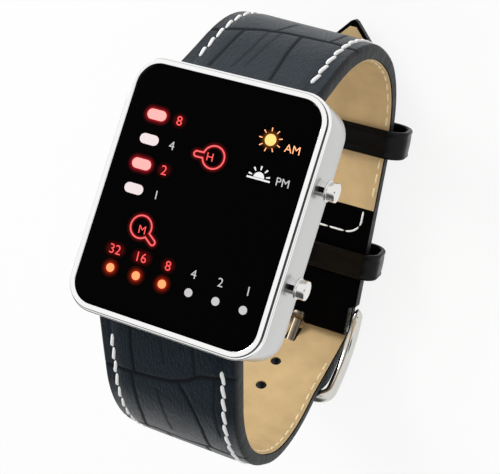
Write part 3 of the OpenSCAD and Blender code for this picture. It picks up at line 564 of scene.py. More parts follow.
def rounded_path(points, radii):
    """Points of a bent line with its corners rounded."""
    points = [np.array(p, float) for p in points]
    out = [points[0]]
    for k in range(1, len(points) - 1):
        d = unit(points[k] - points[k - 1])
        e = unit(points[k + 1] - points[k])
        turn = math.atan2(d[0] * e[1] - d[1] * e[0], d @ e)
        reach = radii[k - 1] * math.tan(abs(turn) / 2)
        spoke = np.array([-d[1], d[0]]) * math.copysign(radii[k - 1], turn)
        centre = points[k] - d * reach + spoke
        steps = max(4, int(abs(math.degrees(turn)) / 1.5))
        out += [centre - turned(spoke, turn * i / steps) for i in range(steps + 1)]
    out.append(points[-1])
    return np.array(out)


def smooth_step(t):
    t = np.clip(t, 0, 1)
    return t * t * (3 - 2 * t)


class Strap:
    """A leather band along a path of case frame [y, z] points on its inner face."""

    def __init__(self, points, radii, side, t_case, t_far, creases):
        path = rounded_path(points, radii)
        lengths = np.r_[0, np.cumsum(np.linalg.norm(np.diff(path, axis=0), axis=1))]
        self.length = lengths[-1]
        self.s = np.linspace(0, self.length, int(self.length / STEP))
        self.p = np.c_[np.interp(self.s, lengths, path[:, 0]), np.interp(self.s, lengths, path[:, 1])]
        d = np.gradient(self.p, axis=0)
        d /= np.linalg.norm(d, axis=1)[:, None]
        self.d = d
        self.n = side * np.c_[-d[:, 1], d[:, 0]]
        self.t_case = t_case
        self.t_far = t_far
        self.creases = creases

    def thick(self, s):
        share = (1 + np.cos(np.pi * np.clip(s, 0, TAPER_L) / TAPER_L)) / 2
        return self.t_far + (self.t_case - self.t_far) * share

    def half(self, s):
        return np.full_like(np.asarray(s, float), STRAP_HALF)

    def shift(self, x, s):
        """How far the soft leather stands out from its plain path."""
        return 0.0 * x

    def swell(self, x, s):
        """Thickness added where the padding swells."""
        return 0.0 * x

    def groove(self, x, s):
        """Depth share of the pressed creases, 0 to 1."""
        x = np.asarray(x, float)
        deepest = np.zeros_like(x + s)
        for width, strength, line in self.creases:
            for (xa, sa), (xb, sb) in zip(line, line[1:]):
                span = np.array([xb - xa, sb - sa])
                t = np.clip(((x - xa) * span[0] + (s - sa) * span[1]) / (span @ span), 0, 1)
                away = np.hypot(x - xa - t * span[0], s - sa - t * span[1])
                deepest = np.maximum(deepest, strength * np.exp(-(away / width) ** 2))
        return deepest

    def top(self, x, s):
        """Height of the outer face over the inner path."""
        edge = np.maximum(self.half(s) - np.abs(x), 0)
        low = np.maximum(EDGE_R - edge, 0)
        corner = EDGE_R - np.sqrt(np.maximum(EDGE_R ** 2 - low ** 2, 0))
        pad = PAD * (1 - smooth_step((edge - PAD_START) / PAD_RUN))
        channel = CHANNEL_DEPTH * np.exp(-((edge - STITCH_IN) / CHANNEL_W) ** 2)
        return self.thick(s) + self.swell(x, s) - corner - pad - channel - CREASE_DEPTH * self.groove(x, s)

    def at(self, x, s, h):
        """Row points at x across, s along and h over the inner path."""
        back = np.minimum(np.asarray(s, float), 0)
        over = np.maximum(np.asarray(s, float) - self.length, 0)
        h = h + self.shift(np.asarray(x, float), np.asarray(s, float))
        y, z = (np.interp(s, self.s, self.p[:, k]) + back * self.d[0, k] + over * self.d[-1, k]
                + np.interp(s, self.s, self.n[:, k]) * h for k in (0, 1))
        return np.stack([x + 0 * y, FACE_Y + y * COS + z * SIN, FACE_Z - y * SIN + z * COS], -1) * MM

    def skin(self, stations, lowest):
        """Vertices, faces, groove shares, places and kinds of face of the leather, over its stations.

        lowest(s) is the height of the inner side, and each station is (s, squeeze): a round end
        squeezes the section towards its middle."""
        u = np.linspace(-1, 1, OUTER_COLUMNS)
        v = np.linspace(1, -1, INNER_COLUMNS)
        rings = []
        shares = []
        places = []
        for s, squeeze in stations:
            at = min(max(s, 0), self.length)
            w = float(self.half(at))
            x_out = u * w
            across = np.r_[x_out, v * w * 0.985]
            mid = self.thick(at) / 2
            h = np.r_[self.top(x_out, at), np.full(INNER_COLUMNS, lowest(at))]
            rings.append(list(map(Vector, self.at(across, s, mid + (h - mid) * squeeze))))
            shares.append(np.r_[self.groove(x_out, at), np.zeros(INNER_COLUMNS)])
            places.append(np.c_[across * WRINKLES, np.full_like(across, s), np.zeros_like(across)])
        n = OUTER_COLUMNS + INNER_COLUMNS
        verts, faces = loft(rings)
        edges = (OUTER_COLUMNS - 1, n - 1, 0, 1, 2, OUTER_COLUMNS - 2, OUTER_COLUMNS - 3)
        columns = [i % n for i in range(len(faces) - 2)]
        # Outer faces take the leather, edges the edge paint, and inner faces the darker copy that paints the
        # shade inside the loop
        kinds = [1 if i in edges else 2 * (i >= OUTER_COLUMNS) for i in columns] + [1, 1]
        return verts, faces, np.concatenate(shares), np.concatenate(places), kinds


class BuckleStrap(Strap):
    """The strap whose end is cut in for the buckle's arms."""

    TWIST = 0.5
    TWIST_AT = 21
    TWIST_SPAN = 10

    def half(self, s):
        into = np.asarray(s, float) - (self.length - END_CUT)
        return STRAP_HALF - (STRAP_HALF - TAIL_HALF) * smooth_step((into + 0.5) / 0.5)

    def shift(self, x, s):
        """The upper bend is a little twisted: its 9 o'clock side stands higher."""
        return self.TWIST * (1 - x / STRAP_HALF) * np.exp(-((s - self.TWIST_AT) / self.TWIST_SPAN) ** 2)


class TailStrap(Strap):
    """The strap that narrows on its way down to the buckle, with a pointed end."""

    TIP_L = 11.5
    TIP_BLUNT = 0.48
    TIP_SOFT = 1.5
    NARROW_TOP = 45
    NARROW_END = 20

    def half(self, s):
        s = np.asarray(s, float)
        height = np.interp(s, self.s, FACE_Z - self.p[:, 0] * SIN + self.p[:, 1] * COS)
        share = np.clip((height - self.NARROW_END) / (self.NARROW_TOP - self.NARROW_END), 0, 1)
        wide = TAIL_HALF + (STRAP_HALF - TAIL_HALF) * share
        left = np.maximum(self.length - s, 0)
        straight = left * TAIL_HALF / self.TIP_L
        blended = 0.5 * (straight + wide - np.sqrt((straight - wide) ** 2 + self.TIP_SOFT))
        body = np.where(left > 2 * self.TIP_L, wide, blended)
        past = np.clip(left - self.TIP_BLUNT, 0, 1)
        blunt = np.where(past < 0.28, np.sqrt(np.maximum(1 - (1 - past) ** 2, 0)), STRAP_HALF)
        return np.maximum(np.minimum(body, blunt), 0.15)

    def swell(self, x, s):
        """The padding swells out between the buckle's bar and crossbar, on either side of the tongue."""
        share = np.clip((s - self.length + PAST_BAR + CROSSBAR_AT) / CROSSBAR_AT, 0, 1)
        return EDGE_SWELL * (x / TAIL_HALF) ** 2 * np.sin(np.pi * share ** 0.7) ** 2


def round_end(r):
    """Stations (past the end, squeeze) of a round end."""
    angles = [math.pi / 2 * k / 6 for k in range(1, 7)]
    return [(r * math.sin(a), max(math.cos(a), 0.05)) for a in angles]


def stations_of(strap, start_r, end_r, last):
    """Stations along a strap with a round end of the given radius at each eye, or a plain end."""
    out = [(-past, squeeze) for past, squeeze in reversed(round_end(start_r))]
    out += [(s, 1.0) for s in np.linspace(0, last, int(last / STEP))]
    if end_r:
        out += [(last + past, squeeze) for past, squeeze in round_end(end_r)]
    return out


def add_leather(name, strap, stations, lowest, nodes):
    verts, faces, shares, places, kinds = strap.skin(stations, lowest)
    obj = add_object(name, verts, faces, [LEATHER, EDGE_PAINT, INNER_LEATHER_PAINTED_SHADE], slot="black_leather", nodes=nodes,
                     smooth_angle=60)
    grooves = obj.data.attributes.new("groove", "FLOAT", "POINT")
    grooves.data.foreach_set("value", np.asarray(shares, np.float32))
    place = obj.data.attributes.new("place", "FLOAT_VECTOR", "POINT")
    place.data.foreach_set("vector", np.asarray(places, np.float32).ravel())
    obj.data.polygons.foreach_set("material_index", np.array(kinds, np.int32))
    return obj


def add_lining(name, strap, start, end, inset, nodes):
    """A thin tan sheet on the inner face, with soft edges."""
    section = [(-1, 0.06), (-1, 0.22), (-0.985, LINING_T), (0.985, LINING_T), (1, 0.22), (1, 0.06),
               (0.99, 0.0), (0.5, 0.0), (0, 0.0), (-0.5, 0.0), (-0.99, 0.0)]
    rings = []
    for s in np.linspace(start, end, int((end - start) / STEP)):
        w = max(float(strap.half(s)) - inset(s), 0.05)
        x = np.array([a * w for a, _ in section])
        rings.append(list(map(Vector, strap.at(x, s, np.array([h for _, h in section])))))
    return add_object(name, *loft(rings), [LINING], slot="tan_leather", nodes=nodes, smooth_angle=60)


STITCH_STATIONS = 9
STITCH_SIDES = 8


def stitch_parts(strap, line, top, pitch, length, radius, slant, lift):
    """Thread along a line of (x, s) points: one bent, slanted capsule a stitch, sunk at its ends."""
    line = np.array(line, float)
    run = np.r_[0, np.cumsum(np.linalg.norm(np.diff(line, axis=0), axis=1))]

    def at(along):
        return np.array([np.interp(along, run, line[:, 0]), np.interp(along, run, line[:, 1])])

    parts = []
    for k in range(int((run[-1] - length) / pitch) + 1):
        rings = []
        for i in range(STITCH_STATIONS):
            u = i / (STITCH_STATIONS - 1)
            along = k * pitch + u * length
            x, s = at(along)
            dx, ds = at(along + 0.1) - at(along - 0.1)
            across = np.array([ds, -dx]) / (math.hypot(dx, ds) or 1)
            shift = slant * math.sin(math.pi * (u - 0.5))
            bow = 1 - (2 * u - 1) ** 4
            r = radius * (0.55 + 0.45 * math.sqrt(max(bow, 0)))
            ring = []
            for side, rise in arc(shift, 0, r, steps=STITCH_SIDES):
                px = x + across[0] * side
                ps = s + across[1] * side
                h = top(px, ps) + lift * (bow - 0.75) * 1.3 + rise
                ring.append(Vector(strap.at(px, ps, h)))
            rings.append(ring)
        parts.append(loft(rings))
    return parts


def edge_line(strap, side, start, end, inset):
    """A line of (x, s) points at a steady distance from a strap's edge."""
    return [(side * max(float(strap.half(s)) - inset, 0.0), s) for s in np.linspace(start, end, 120)]


# Paths of both straps on their inner faces, in the case frame
TOP_EXIT = math.radians(44)
BOTTOM_EXIT = math.radians(43)
EYE_R = 1.7
BUCKLE_EYE_R = 1.5
TOP_BAR = (18.2, -4.3)
BOTTOM_BAR = (-18.2, -4.3)
TOP_Y = 33.9
BOTTOM_Y = -36.4
BACK_CORNER = (TOP_Y, -48.2)
TAIL_CORNER = (BOTTOM_Y, -50.8)
BUCKLE_AT = 51.2
TAIL_PAST = 10.5
TAIL_DEPTH = 3.15
UNDER_BAR_R = 3.5
UNDER_BAR = 0.6 * UNDER_BAR_R
top_start = (TOP_BAR[0] - EYE_R * math.sin(TOP_EXIT), TOP_BAR[1] - EYE_R * math.cos(TOP_EXIT))
bottom_start = (BOTTOM_BAR[0] + EYE_R * math.sin(BOTTOM_EXIT),
                BOTTOM_BAR[1] - EYE_R * math.cos(BOTTOM_EXIT))
top_corner = (TOP_Y, top_start[1] - (TOP_Y - top_start[0]) * math.tan(TOP_EXIT))
bottom_corner = (BOTTOM_Y, bottom_start[1] - (bottom_start[0] - BOTTOM_Y) * math.tan(BOTTOM_EXIT))


def on_back(along, depth):
    """A point along the back of the loop from its corner, and below the buckle strap's inner face."""
    return (BACK_CORNER[0] - along * COS + depth * SIN, BACK_CORNER[1] - along * SIN - depth * COS)


buckle_points = [top_start, top_corner, BACK_CORNER, on_back(BUCKLE_AT, 0)]
tail_points = [bottom_start, bottom_corner, TAIL_CORNER, on_back(BUCKLE_AT + UNDER_BAR, TAIL_DEPTH),
               on_back(-TAIL_PAST, TAIL_DEPTH)]

# Pressed creases: width, depth share, and a line of (across, along) points; the depth share also darkens the
# leather's colour there, as painted shade
buckle_creases = [
    (0.33, 1.0, [(-11.5, 12.6), (-9.5, 13.2), (-7, 14.2), (-3.8, 15.6), (0, 16.6), (5, 17.1), (11.5, 17.8)]),
    (0.27, 0.8, [(-6.4, 13.8), (-6.6, 9), (-6.8, 3)]),
    (0.27, 0.9, [(2.6, 16.6), (2.9, 11), (3.6, 3)]),
    (0.25, 0.4, [(-2.6, 15.6), (-2.8, 9), (-3.4, 4)]),
    (0.25, 0.35, [(-0.6, 16), (-1.2, 9), (-1.6, 5)]),
    (0.25, 0.6, [(-1.8, 16.4), (-1.0, 19), (-0.6, 22)]),
    (0.25, 0.6, [(7.2, 17.4), (7.6, 21), (7, 26)]),
    (0.31, 0.9, [(-11.5, 27), (-6, 26), (0, 26.5), (6, 27.5), (11.5, 27)]),
    (0.27, 0.7, [(-6, 26), (-6.4, 32), (-6, 38)]),
    (0.27, 0.7, [(3, 27), (3.4, 33), (2.8, 39)]),
    (0.31, 0.9, [(-11.5, 39), (-4, 38), (3, 39.4), (11.5, 38.5)]),
    (0.27, 0.7, [(-2, 38.4), (-2.4, 45), (-1.8, 51)]),
    (0.27, 0.7, [(6.4, 39), (6, 45), (6.6, 51)]),
    (0.31, 0.9, [(-11.5, 51), (-3, 50.4), (4, 51.4), (11.5, 50.6)]),
]
tail_creases = [
    (0.33, 1.0, [(-11.5, 12.4), (-9.2, 12), (-6, 11.8), (-2.6, 11.4), (0.6, 10.8), (3.5, 9.4),
                (6, 7.4), (11.5, 6)]),
    (0.27, 0.9, [(-6, 2), (-6.2, 6), (-6, 11.8)]),
    (0.27, 0.8, [(-6.6, 12), (-6.3, 17), (-6.2, 22), (-7, 28)]),
    (0.25, 0.7, [(4.8, 2), (5, 7.8)]),
    (0.27, 0.9, [(1.8, 10.4), (3.4, 13.6), (4.6, 16.6), (5.4, 20), (5.6, 26)]),
    (0.25, 0.35, [(-0.6, 2.5), (-0.4, 7)]),
    (0.25, 0.4, [(-2, 14), (-1.4, 19), (-1, 24)]),
    (0.25, 0.6, [(8.4, 7), (8, 14), (8.6, 20)]),
    (0.31, 0.9, [(-11.5, 28), (-5, 27), (1, 27.6), (6, 26.2), (11.5, 27)]),
    (0.27, 0.7, [(-3, 27.4), (-3.4, 34), (-2.8, 40)]),
    (0.27, 0.7, [(4.6, 26.6), (4.2, 33), (5, 40)]),
    (0.31, 0.9, [(-11.5, 40.5), (-4, 39.8), (4, 40.8), (11.5, 40)]),
]
for start in range(54, 130, 13):
    lean_x = 3 if start % 2 else -4
    tail_creases += [
        (0.31, 0.9, [(-11.5, start + 0.5), (-4, start - 0.4), (3, start + 0.6), (11.5, start)]),
        (0.27, 0.7, [(lean_x, start), (lean_x + 0.5, start + 6), (lean_x - 0.3, start + 13)]),
    ]

CASE_T = 3.4
BUCKLE_T = 3.0
TAIL_T = 2.6
buckle = BuckleStrap(buckle_points, [31, 18], 1, CASE_T, BUCKLE_T, buckle_creases)
tail = TailStrap(tail_points, [28, 28, UNDER_BAR_R], -1, CASE_T, TAIL_T, tail_creases)
LINING_START = 2.5
FOLD_AT = 24.8
LINING_END = buckle.length - BUCKLE_AT + FOLD_AT
TAIL_TIP = TailStrap.TIP_BLUNT + 0.02


def low_side(end):
    """Height of a leather's inner side: it makes room for the lining, and folds over past its end."""
    return lambda s: LINING_T + LINING_GAP if LINING_START - 0.1 < s < end else 0.0


def plain_border(s):
    return LINING_BORDER


def tail_border(s):
    return LINING_BORDER + TIP_BORDER * smooth_step((s - tail.length + 18) / 6)


buckle_leather = add_leather("buckle_strap_leather", buckle,
                             stations_of(buckle, EYE_R, BUCKLE_EYE_R, buckle.length),
                             low_side(LINING_END), ("buckle_strap",))
tail_leather = add_leather("tail_strap_leather", tail, stations_of(tail, EYE_R, 0, tail.length - TAIL_TIP),
                           low_side(math.inf), ("tail_strap",))
add_lining("buckle_strap_inside", buckle, LINING_START, LINING_END, plain_border, ("buckle_strap_lining",))
tail_inside = add_lining("tail_strap_inside", tail, LINING_START, tail.length - TAIL_TIP - 1.3, tail_border,
                         ("tail_strap_lining",))

# Buckle place in the row frame, in millimetres
bar_low, bar_high = box_mm("buckle_bar_tube")
BAR = np.array([(bar_low.y + bar_high.y) / 2, (bar_low.z + bar_high.z) / 2])
ARM_BOW = 2.0
ARM_X = 10.9
ARM_W = 2.2
ARM_H = 2.6
ARM_PAST = 3.4
CROSSBAR_R = 1.2
CROSSBAR_DEPTH = 2.9 + CROSSBAR_R
TONGUE_W = 1.8
TONGUE_T = 1.0
TONGUE_GAP = 0.3
KNUCKLE_W = 2.6
BUCKLE_SWING = math.radians(19)
under_bar = to_row(0, *on_back(BUCKLE_AT + UNDER_BAR, TAIL_DEPTH)) / MM
tail_corner = to_row(0, *TAIL_CORNER) / MM
under_bar = np.array([under_bar.y, under_bar.z])
tail_dir = unit(np.array([tail_corner.y, tail_corner.z]) - under_bar)
tail_out = np.array([-tail_dir[1], tail_dir[0]])
CHORD = under_bar + CROSSBAR_AT * tail_dir + CROSSBAR_DEPTH * tail_out - BAR
CHORD_L = float(np.linalg.norm(CHORD))
TONGUE_ANGLE = math.atan2(CHORD[1], CHORD[0]) + math.asin((CROSSBAR_R + 0.1 + TONGUE_T / 2) / CHORD_L)


# Holes through the tail strap, and the slot that its tongue swings in
HOLE_R = 1.1
HOLE_PITCH = 7
HOLE_REACH = 8.0
CROSSING_SHARE = 0.38
crossing = float(np.linalg.norm(BAR + CHORD - under_bar)) * CROSSING_SHARE


def hole_cutter(middle, direction):
    """A closed cylinder along a [y, z] direction through a row point."""
    side = np.array([-direction[1], direction[0]])
    rings = []
    for t in (-HOLE_REACH, HOLE_REACH):
        ring = []
        for x, across in arc(0, 0, HOLE_R):
            p = middle + direction * t + side * across
            ring.append(Vector((x, p[0], p[1])) * MM)
        rings.append(ring)
    return loft(rings)


hole_cutters = [hole_cutter(under_bar + (crossing + k * HOLE_PITCH) * tail_dir, tail_out) for k in (1, 2)]
FIXED_KEEPER_AT = 14.8
KEEPER_W = 5.5
for k in range(4):
    along = FIXED_KEEPER_AT + KEEPER_W + (k - 1) * HOLE_PITCH
    hole_cutters.append(hole_cutter(under_bar + np.array([along, -1.3]), np.array([0.0, 0.45])))
half_room = TONGUE_T / 2 + TONGUE_GAP
ends = (0.5, CHORD_L - CROSSBAR_R)
upper_side = [BAR + turned((l, -half_room), TONGUE_ANGLE) for l in ends]
lower_side = [BAR + turned((l, half_room), TONGUE_ANGLE + BUCKLE_SWING) for l in ends]
slot_half = TONGUE_W / 2 + TONGUE_GAP
tongue_cutter = prism([upper_side[0], upper_side[1], lower_side[1], lower_side[0]], -slot_half, slot_half)
for piece in (tail_leather, tail_inside):
    cut(piece, hole_cutters + [tongue_cutter])
notch = KNUCKLE_W / 2 + TONGUE_GAP
notch_y = (BAR[0] - 3.0, BAR[0] + 1.8)
notch_outline = [(notch_y[0], 1.0), (notch_y[1], 1.0), (notch_y[1], 9.0), (notch_y[0], 9.0)]
cut(buckle_leather, [prism(notch_outline, -notch, notch)])


# Stitching

def add_parts(name, parts, mat, slot, smooth_angle):
    add_object(name, *gather(parts), [mat], slot=slot, smooth_angle=smooth_angle)


def inner_face(x, s):
    return 0.0 * np.asarray(x, float)


STITCH_START = 5
WHITE_STITCH = (2.95, 2.85, 0.31)
TAN_STITCH = (2.9, 2.0, 0.21)
THREAD_SMOOTH = 80
for name, strap, last, lift in (("buckle_strap_stitches", buckle, 55, 0.16),
                                ("tail_strap_stitches", tail, tail.length - 4.6, 0.12)):
    white_parts = []
    for side in (-1, 1):
        line = edge_line(strap, side, STITCH_START, last, STITCH_IN)
        white_parts += stitch_parts(strap, line, strap.top, *WHITE_STITCH, side * 0.15, lift)
    add_parts(name, white_parts, THREAD, "black_leather", THREAD_SMOOTH)

U_X = 9.7
U_DROP = 5.5
U_ROUND = 3.0
u_line = [(U_X, LINING_END + 0.6), (U_X, LINING_END + U_DROP - U_ROUND)]
u_line += arc(U_X - U_ROUND, LINING_END + U_DROP - U_ROUND, U_ROUND, 0.0, math.pi / 2, 8)[1:]
u_line += [(-x, s) for x, s in reversed(u_line)]
add_parts("fold_stitches", stitch_parts(buckle, u_line, inner_face, 3.4, 3.1, 0.2, 0.0, -0.1), THREAD,
          "black_leather", THREAD_SMOOTH)
tan_parts = []
for side in (-1, 1):
    for strap, last in ((buckle, LINING_END - 1), (tail, 74)):
        line = edge_line(strap, side, STITCH_START, last, 1.0)
        tan_parts += stitch_parts(strap, line, inner_face, *TAN_STITCH, 0.0, -0.1)
add_parts("lining_stitches", tan_parts, TAN_THREAD, "tan_leather", THREAD_SMOOTH)


# Keepers

END_BULGE = 0.7
half_section = [(0.4, 0.05), (0.66, 0.1), (0.74, 0.05), (0.84, 0.0), (0.93, 0.05), (0.985, 0.2), (1, 0.5)]
keeper_section = [(-t, inset) for t, inset in reversed(half_section)] + [(0, 0.02)] + half_section
keeper_section += [(0.97, 0.86), (0.88, 1.0), (-0.88, 1.0), (-0.97, 0.86)]


def add_keeper(name, node, body):
    """A leather loop with a crowned outside, rolled edges and round ends."""
    low, high = box_mm(node)
    mid_y = (low.y + high.y) / 2
    mid_z = (low.z + high.z) / 2
    width = high.x - low.x
    height = high.z - low.z
    corner = width / 2 - STRAP_HALF + 0.6
    rings = []
    for t, inset in keeper_section:
        ring = []
        for x, z in rounded_rect(width - 2 * inset, height - 2 * inset, corner - inset, 14):
            bulge = END_BULGE * (1 - (2 * z / height) ** 2) * smooth_step(abs(x) - 11)
            ring.append(Vector((x + math.copysign(bulge, x), mid_y + t * KEEPER_W / 2, mid_z + z)) * MM)
        rings.append(ring)
    add_object(name, *loft(rings, closed=True), [KEEPER_LEATHER], body=body, slot="keeper_leather",
               nodes=(node,), smooth_angle=60)


add_keeper("fixed_keeper_loop", "fixed_keeper", BODY)
add_keeper("free_keeper_loop", "free_keeper", "free_keeper")


# Buckle

def soft_section(w, h, power=3.2, steps=20):
    """Points of a soft-cornered section, w by h."""
    return [(math.copysign(abs(c) ** (2 / power), c) * w / 2, math.copysign(abs(s) ** (2 / power), s) * h / 2)
            for c, s in arc(0, 0, 1, steps=steps)]


arm_r = CHORD_L ** 2 / 8 / ARM_BOW + ARM_BOW / 2
chord_dir = CHORD / CHORD_L
arm_centre = BAR + CHORD / 2 + (arm_r - ARM_BOW) * np.array([chord_dir[1], -chord_dir[0]])
arm_start = BAR - arm_centre
arm_sweep = 2 * math.asin(CHORD_L / 2 / arm_r)
arm_extra = 2 * math.asin(ARM_PAST / 2 / arm_r)
arm_l = arm_r * (arm_sweep + arm_extra)
BEND_R = 2.6
LEG_END = arm_l + 1.35
leg_x = ARM_X + ARM_W / 2


def bow_route():
    """Points (x, u, share) of the bent bar: u runs up an arm from the crossbar, share is 1 on an arm."""
    leg = [(leg_x, LEG_END - (LEG_END - BEND_R) * k / 30, 1.0) for k in range(31)]
    turn = arc(leg_x - BEND_R, BEND_R, BEND_R, 0.0, -math.pi / 2, 10)
    bend = [(*turn[k], 1 - k / 10) for k in range(1, 11)]
    half = leg + bend + [((leg_x - BEND_R) * (1 - k / 6), 0.0, 0.0) for k in range(1, 6)]
    return half + [(0.0, 0.0, 0.0)] + [(-x, u, t) for x, u, t in reversed(half)]


def bow_point(x, u, out):
    """A row point at x across, u along an arm's arc from the crossbar, and out from it."""
    radial = turned(arm_start, -arm_sweep + u / arm_r)
    p = arm_centre + radial * (1 + out / arm_r)
    return Vector((x, p[0], p[1])) * MM


route = bow_route()
bow_rings = []
for k, (x, u, share) in enumerate(route):
    before = route[max(k - 1, 0)]
    after = route[min(k + 1, len(route) - 1)]
    run = unit(np.array([after[0] - before[0], after[1] - before[1]]))
    near = min(k, len(route) - 1 - k) / 3.0
    squeeze = math.sin(min(near, 1.0) * math.pi / 2) * 0.94 + 0.06
    w = (2 * CROSSBAR_R + (ARM_W - 2 * CROSSBAR_R) * share) * squeeze
    h = (2 * CROSSBAR_R + (ARM_H - 2 * CROSSBAR_R) * share) * squeeze
    bow_rings.append([bow_point(x - run[1] * q, u + run[0] * q, out) for q, out in soft_section(w, h, 2.6)])
add_object("buckle_bow", *loft(bow_rings), [BOW_STEEL], body="buckle_frame", slot="chrome",
           nodes=("buckle_frame",), smooth_angle=60)

tongue_rings = []
TONGUE_L = CHORD_L + 1
along_dir = turned((1, 0), TONGUE_ANGLE)
across_dir = turned((0, 1), TONGUE_ANGLE)
for t, w, h in ((0.7, 1, 1), (3, 1, 1), (8, 0.98, 1), (12, 0.94, 1), (TONGUE_L - 1.2, 0.88, 0.95),
                (TONGUE_L - 0.5, 0.8, 0.8), (TONGUE_L - 0.12, 0.55, 0.5), (TONGUE_L, 0.2, 0.15)):
    ring = []
    for px, ph in soft_section(TONGUE_W * w, TONGUE_T * h):
        p = BAR + along_dir * t + across_dir * ph
        ring.append(Vector((px, p[0], p[1])) * MM)
    tongue_rings.append(ring)
half_knuckle = [(KNUCKLE_W / 2 - 0.15, 1.35), (KNUCKLE_W / 2, 1.2), (KNUCKLE_W / 2, 0.71)]
knuckle_profile = [(-x, r) for x, r in reversed(half_knuckle)] + half_knuckle
knuckle = loft(lathe(knuckle_profile, BAR, 40), closed=True)
add_object("buckle_pin", *gather([loft(tongue_rings), knuckle]), [PIN_PAINTED_TAN], body="buckle_tongue",
           slot="chrome", nodes=("buckle_tongue",), smooth_angle=50)


# Marks on the face

PRINT_H = 0.02
PRINT_SMOOTH = 30
BACK_SLANT = 0.08
HOUR_X = -10.3
RING_R = 1.74
STUB = 0.42
HOUR_Y = 11.3
HOUR_PITCH = 3.9
PILL_L = 3.2
PILL_W = 1.6
MINUTE_X = -10.1
MINUTE_Y = -12.85
MINUTE_PITCH = 4.45


def flat_parts(outlines, top=PRINT_H):
    """Thin raised prints from case frame outlines."""
    parts = []
    for outline in outlines:
        rings = [[to_row(x, y, LENS_TOP + h) for x, y in outline] for h in (0.001, top)]
        parts.append(loft(rings))
    return parts


def stadium(x, y, l, w):
    reach = (l - w) / 2
    return (arc(x + reach, y, w / 2, -math.pi / 2, math.pi, 12)
            + arc(x - reach, y, w / 2, math.pi / 2, math.pi, 12))


def placed(points, x, y, angle):
    """Outline points turned about their origin, which then lies at x and y."""
    return [tuple(np.array((x, y)) + turned(p, angle)) for p in points]


def ray(x, y, angle, near, far, w_near, w_far):
    corners = ((near, -w_near / 2), (far, -w_far / 2), (far, w_far / 2), (near, w_near / 2))
    return placed(corners, x, y, angle)


def bubble(x, y, r, tip, half):
    """Outline of a round mark with a stub towards a tip."""
    away = math.hypot(tip[0] - x, tip[1] - y) - STUB
    angle = math.atan2(tip[1] - y, tip[0] - x)
    gap = math.asin(half / r)
    points = arc(0, 0, r, gap, 2 * math.pi - 2 * gap, 40)
    points += arc(away, 0, half, -math.pi / 2, math.pi, 12)
    return placed(points, x, y, angle)


def band_part(outer, inner, low, high):
    """A thin raised band between two outlines of equal length."""
    rings = [[to_row(px, py, LENS_TOP + h) for px, py in line]
             for line, h in ((outer, low), (outer, high), (inner, high), (inner, low))]
    return loft(rings, closed=True)


def glow_part(loops, colors):
    """Rings of outlines that carry a light's spill, as (vertices, faces, colours)."""
    verts, faces = loft([[to_row(x, y, LENS_TOP + 0.004) for x, y in loop] for loop in loops])
    tints = [color for color in colors for _ in loops[0]]
    return verts, faces[:-2], tints


def add_glow(name, glows):
    verts, faces = gather([(v, f) for v, f, _ in glows])
    obj = add_object(name, verts, faces, [GLOW], slot="lens")
    tint = obj.data.attributes.new("glow", "FLOAT_COLOR", "POINT")
    values = [c for _, _, tints in glows for rgb in tints for c in (*rgb, 1.0)]
    tint.data.foreach_set("color", np.array(values, np.float32))
    return obj


def text_parts(words):
    """Meshes of (text, x, y, height) set in the built-in font, centred on x and y."""
    parts = []
    for text, x, y, height in words:
        curve = bpy.data.curves.new("print", "FONT")
        curve.body = text
        curve.align_x = "CENTER"
        curve.align_y = "CENTER"
        curve.size = 1.0
        curve.resolution_u = 6
        holder = place_object("print", curve)
        bpy.context.view_layer.update()
        mesh = bpy.data.meshes.new_from_object(holder)
        ys = [v.co.y for v in mesh.vertices]
        xs = [v.co.x for v in mesh.vertices]
        grow = height / (max(ys) - min(ys))
        mid_x = (max(xs) + min(xs)) / 2
        mid_y = (max(ys) + min(ys)) / 2
        verts = [to_row(x + (v.co.x - mid_x - BACK_SLANT * v.co.y) * grow, y + (v.co.y - mid_y) * grow,
                        LENS_TOP + PRINT_H) for v in mesh.vertices]
        parts.append((verts, [tuple(p.vertices) for p in mesh.polygons]))
        bpy.data.objects.remove(holder)
        bpy.data.curves.remove(curve)
        bpy.data.meshes.remove(mesh)
    return parts


hour_ys = [HOUR_Y - k * HOUR_PITCH for k in range(4)]
minute_xs = [MINUTE_X + k * MINUTE_PITCH for k in range(6)]
SUN = (8.44, 12.0)
HALF_SUN = (8.4, 6.2)
# Middle of each ringed mark, and the tip of its stub
RINGED = (((0.65, 7.32), (-2.55, 7.2)), ((-7.22, -5.63), (-4.35, -7.65)))

NUMBER_H = 1.45
PALE_NUMBER_H = 1.3
LETTER_H = 1.2
LINE_T = 0.24
SUN_R = 0.88
LOW_SUN_R = 0.85
pills = [stadium(HOUR_X, y, PILL_L, PILL_W) for y in hour_ys]
on_dots = [arc(x, MINUTE_Y, 0.66) for x in minute_xs[:3]]
off_dots = [arc(x, MINUTE_Y, 0.64) for x in minute_xs[3:]]
hour_xys = [(-6.4, y) for y in hour_ys]
minute_xys = [(x, -10.0) for x in (-10.2, -5.6, -1.1, 3.2, 7.6, 12.1)]
red_numbers = [("8", *hour_xys[0]), ("2", *hour_xys[2])]
red_numbers += [(t, *minute_xys[k]) for k, t in enumerate(("32", "16", "8"))]
white_numbers = [("4", *hour_xys[1]), ("1", *hour_xys[3])]
white_numbers += [(t, *minute_xys[k + 3]) for k, t in enumerate(("4", "2", "1"))]
red_words = [(t, x, y, NUMBER_H) for t, x, y in red_numbers]
red_words += [("H", 0.1, 7.25, LETTER_H), ("M", -6.9, -6.0, LETTER_H)]
white_words = [(t, x, y, PALE_NUMBER_H) for t, x, y in white_numbers]
white_words.append(("PM", 12.2, 6.4, LETTER_H))
sun_rays = [ray(*SUN, 2 * math.pi * k / 9 + 0.3, 1.28, 1.85, 0.13, 0.17) for k in range(9)]
low_sun = [arc(*HALF_SUN, LOW_SUN_R, 0.0, math.pi)]
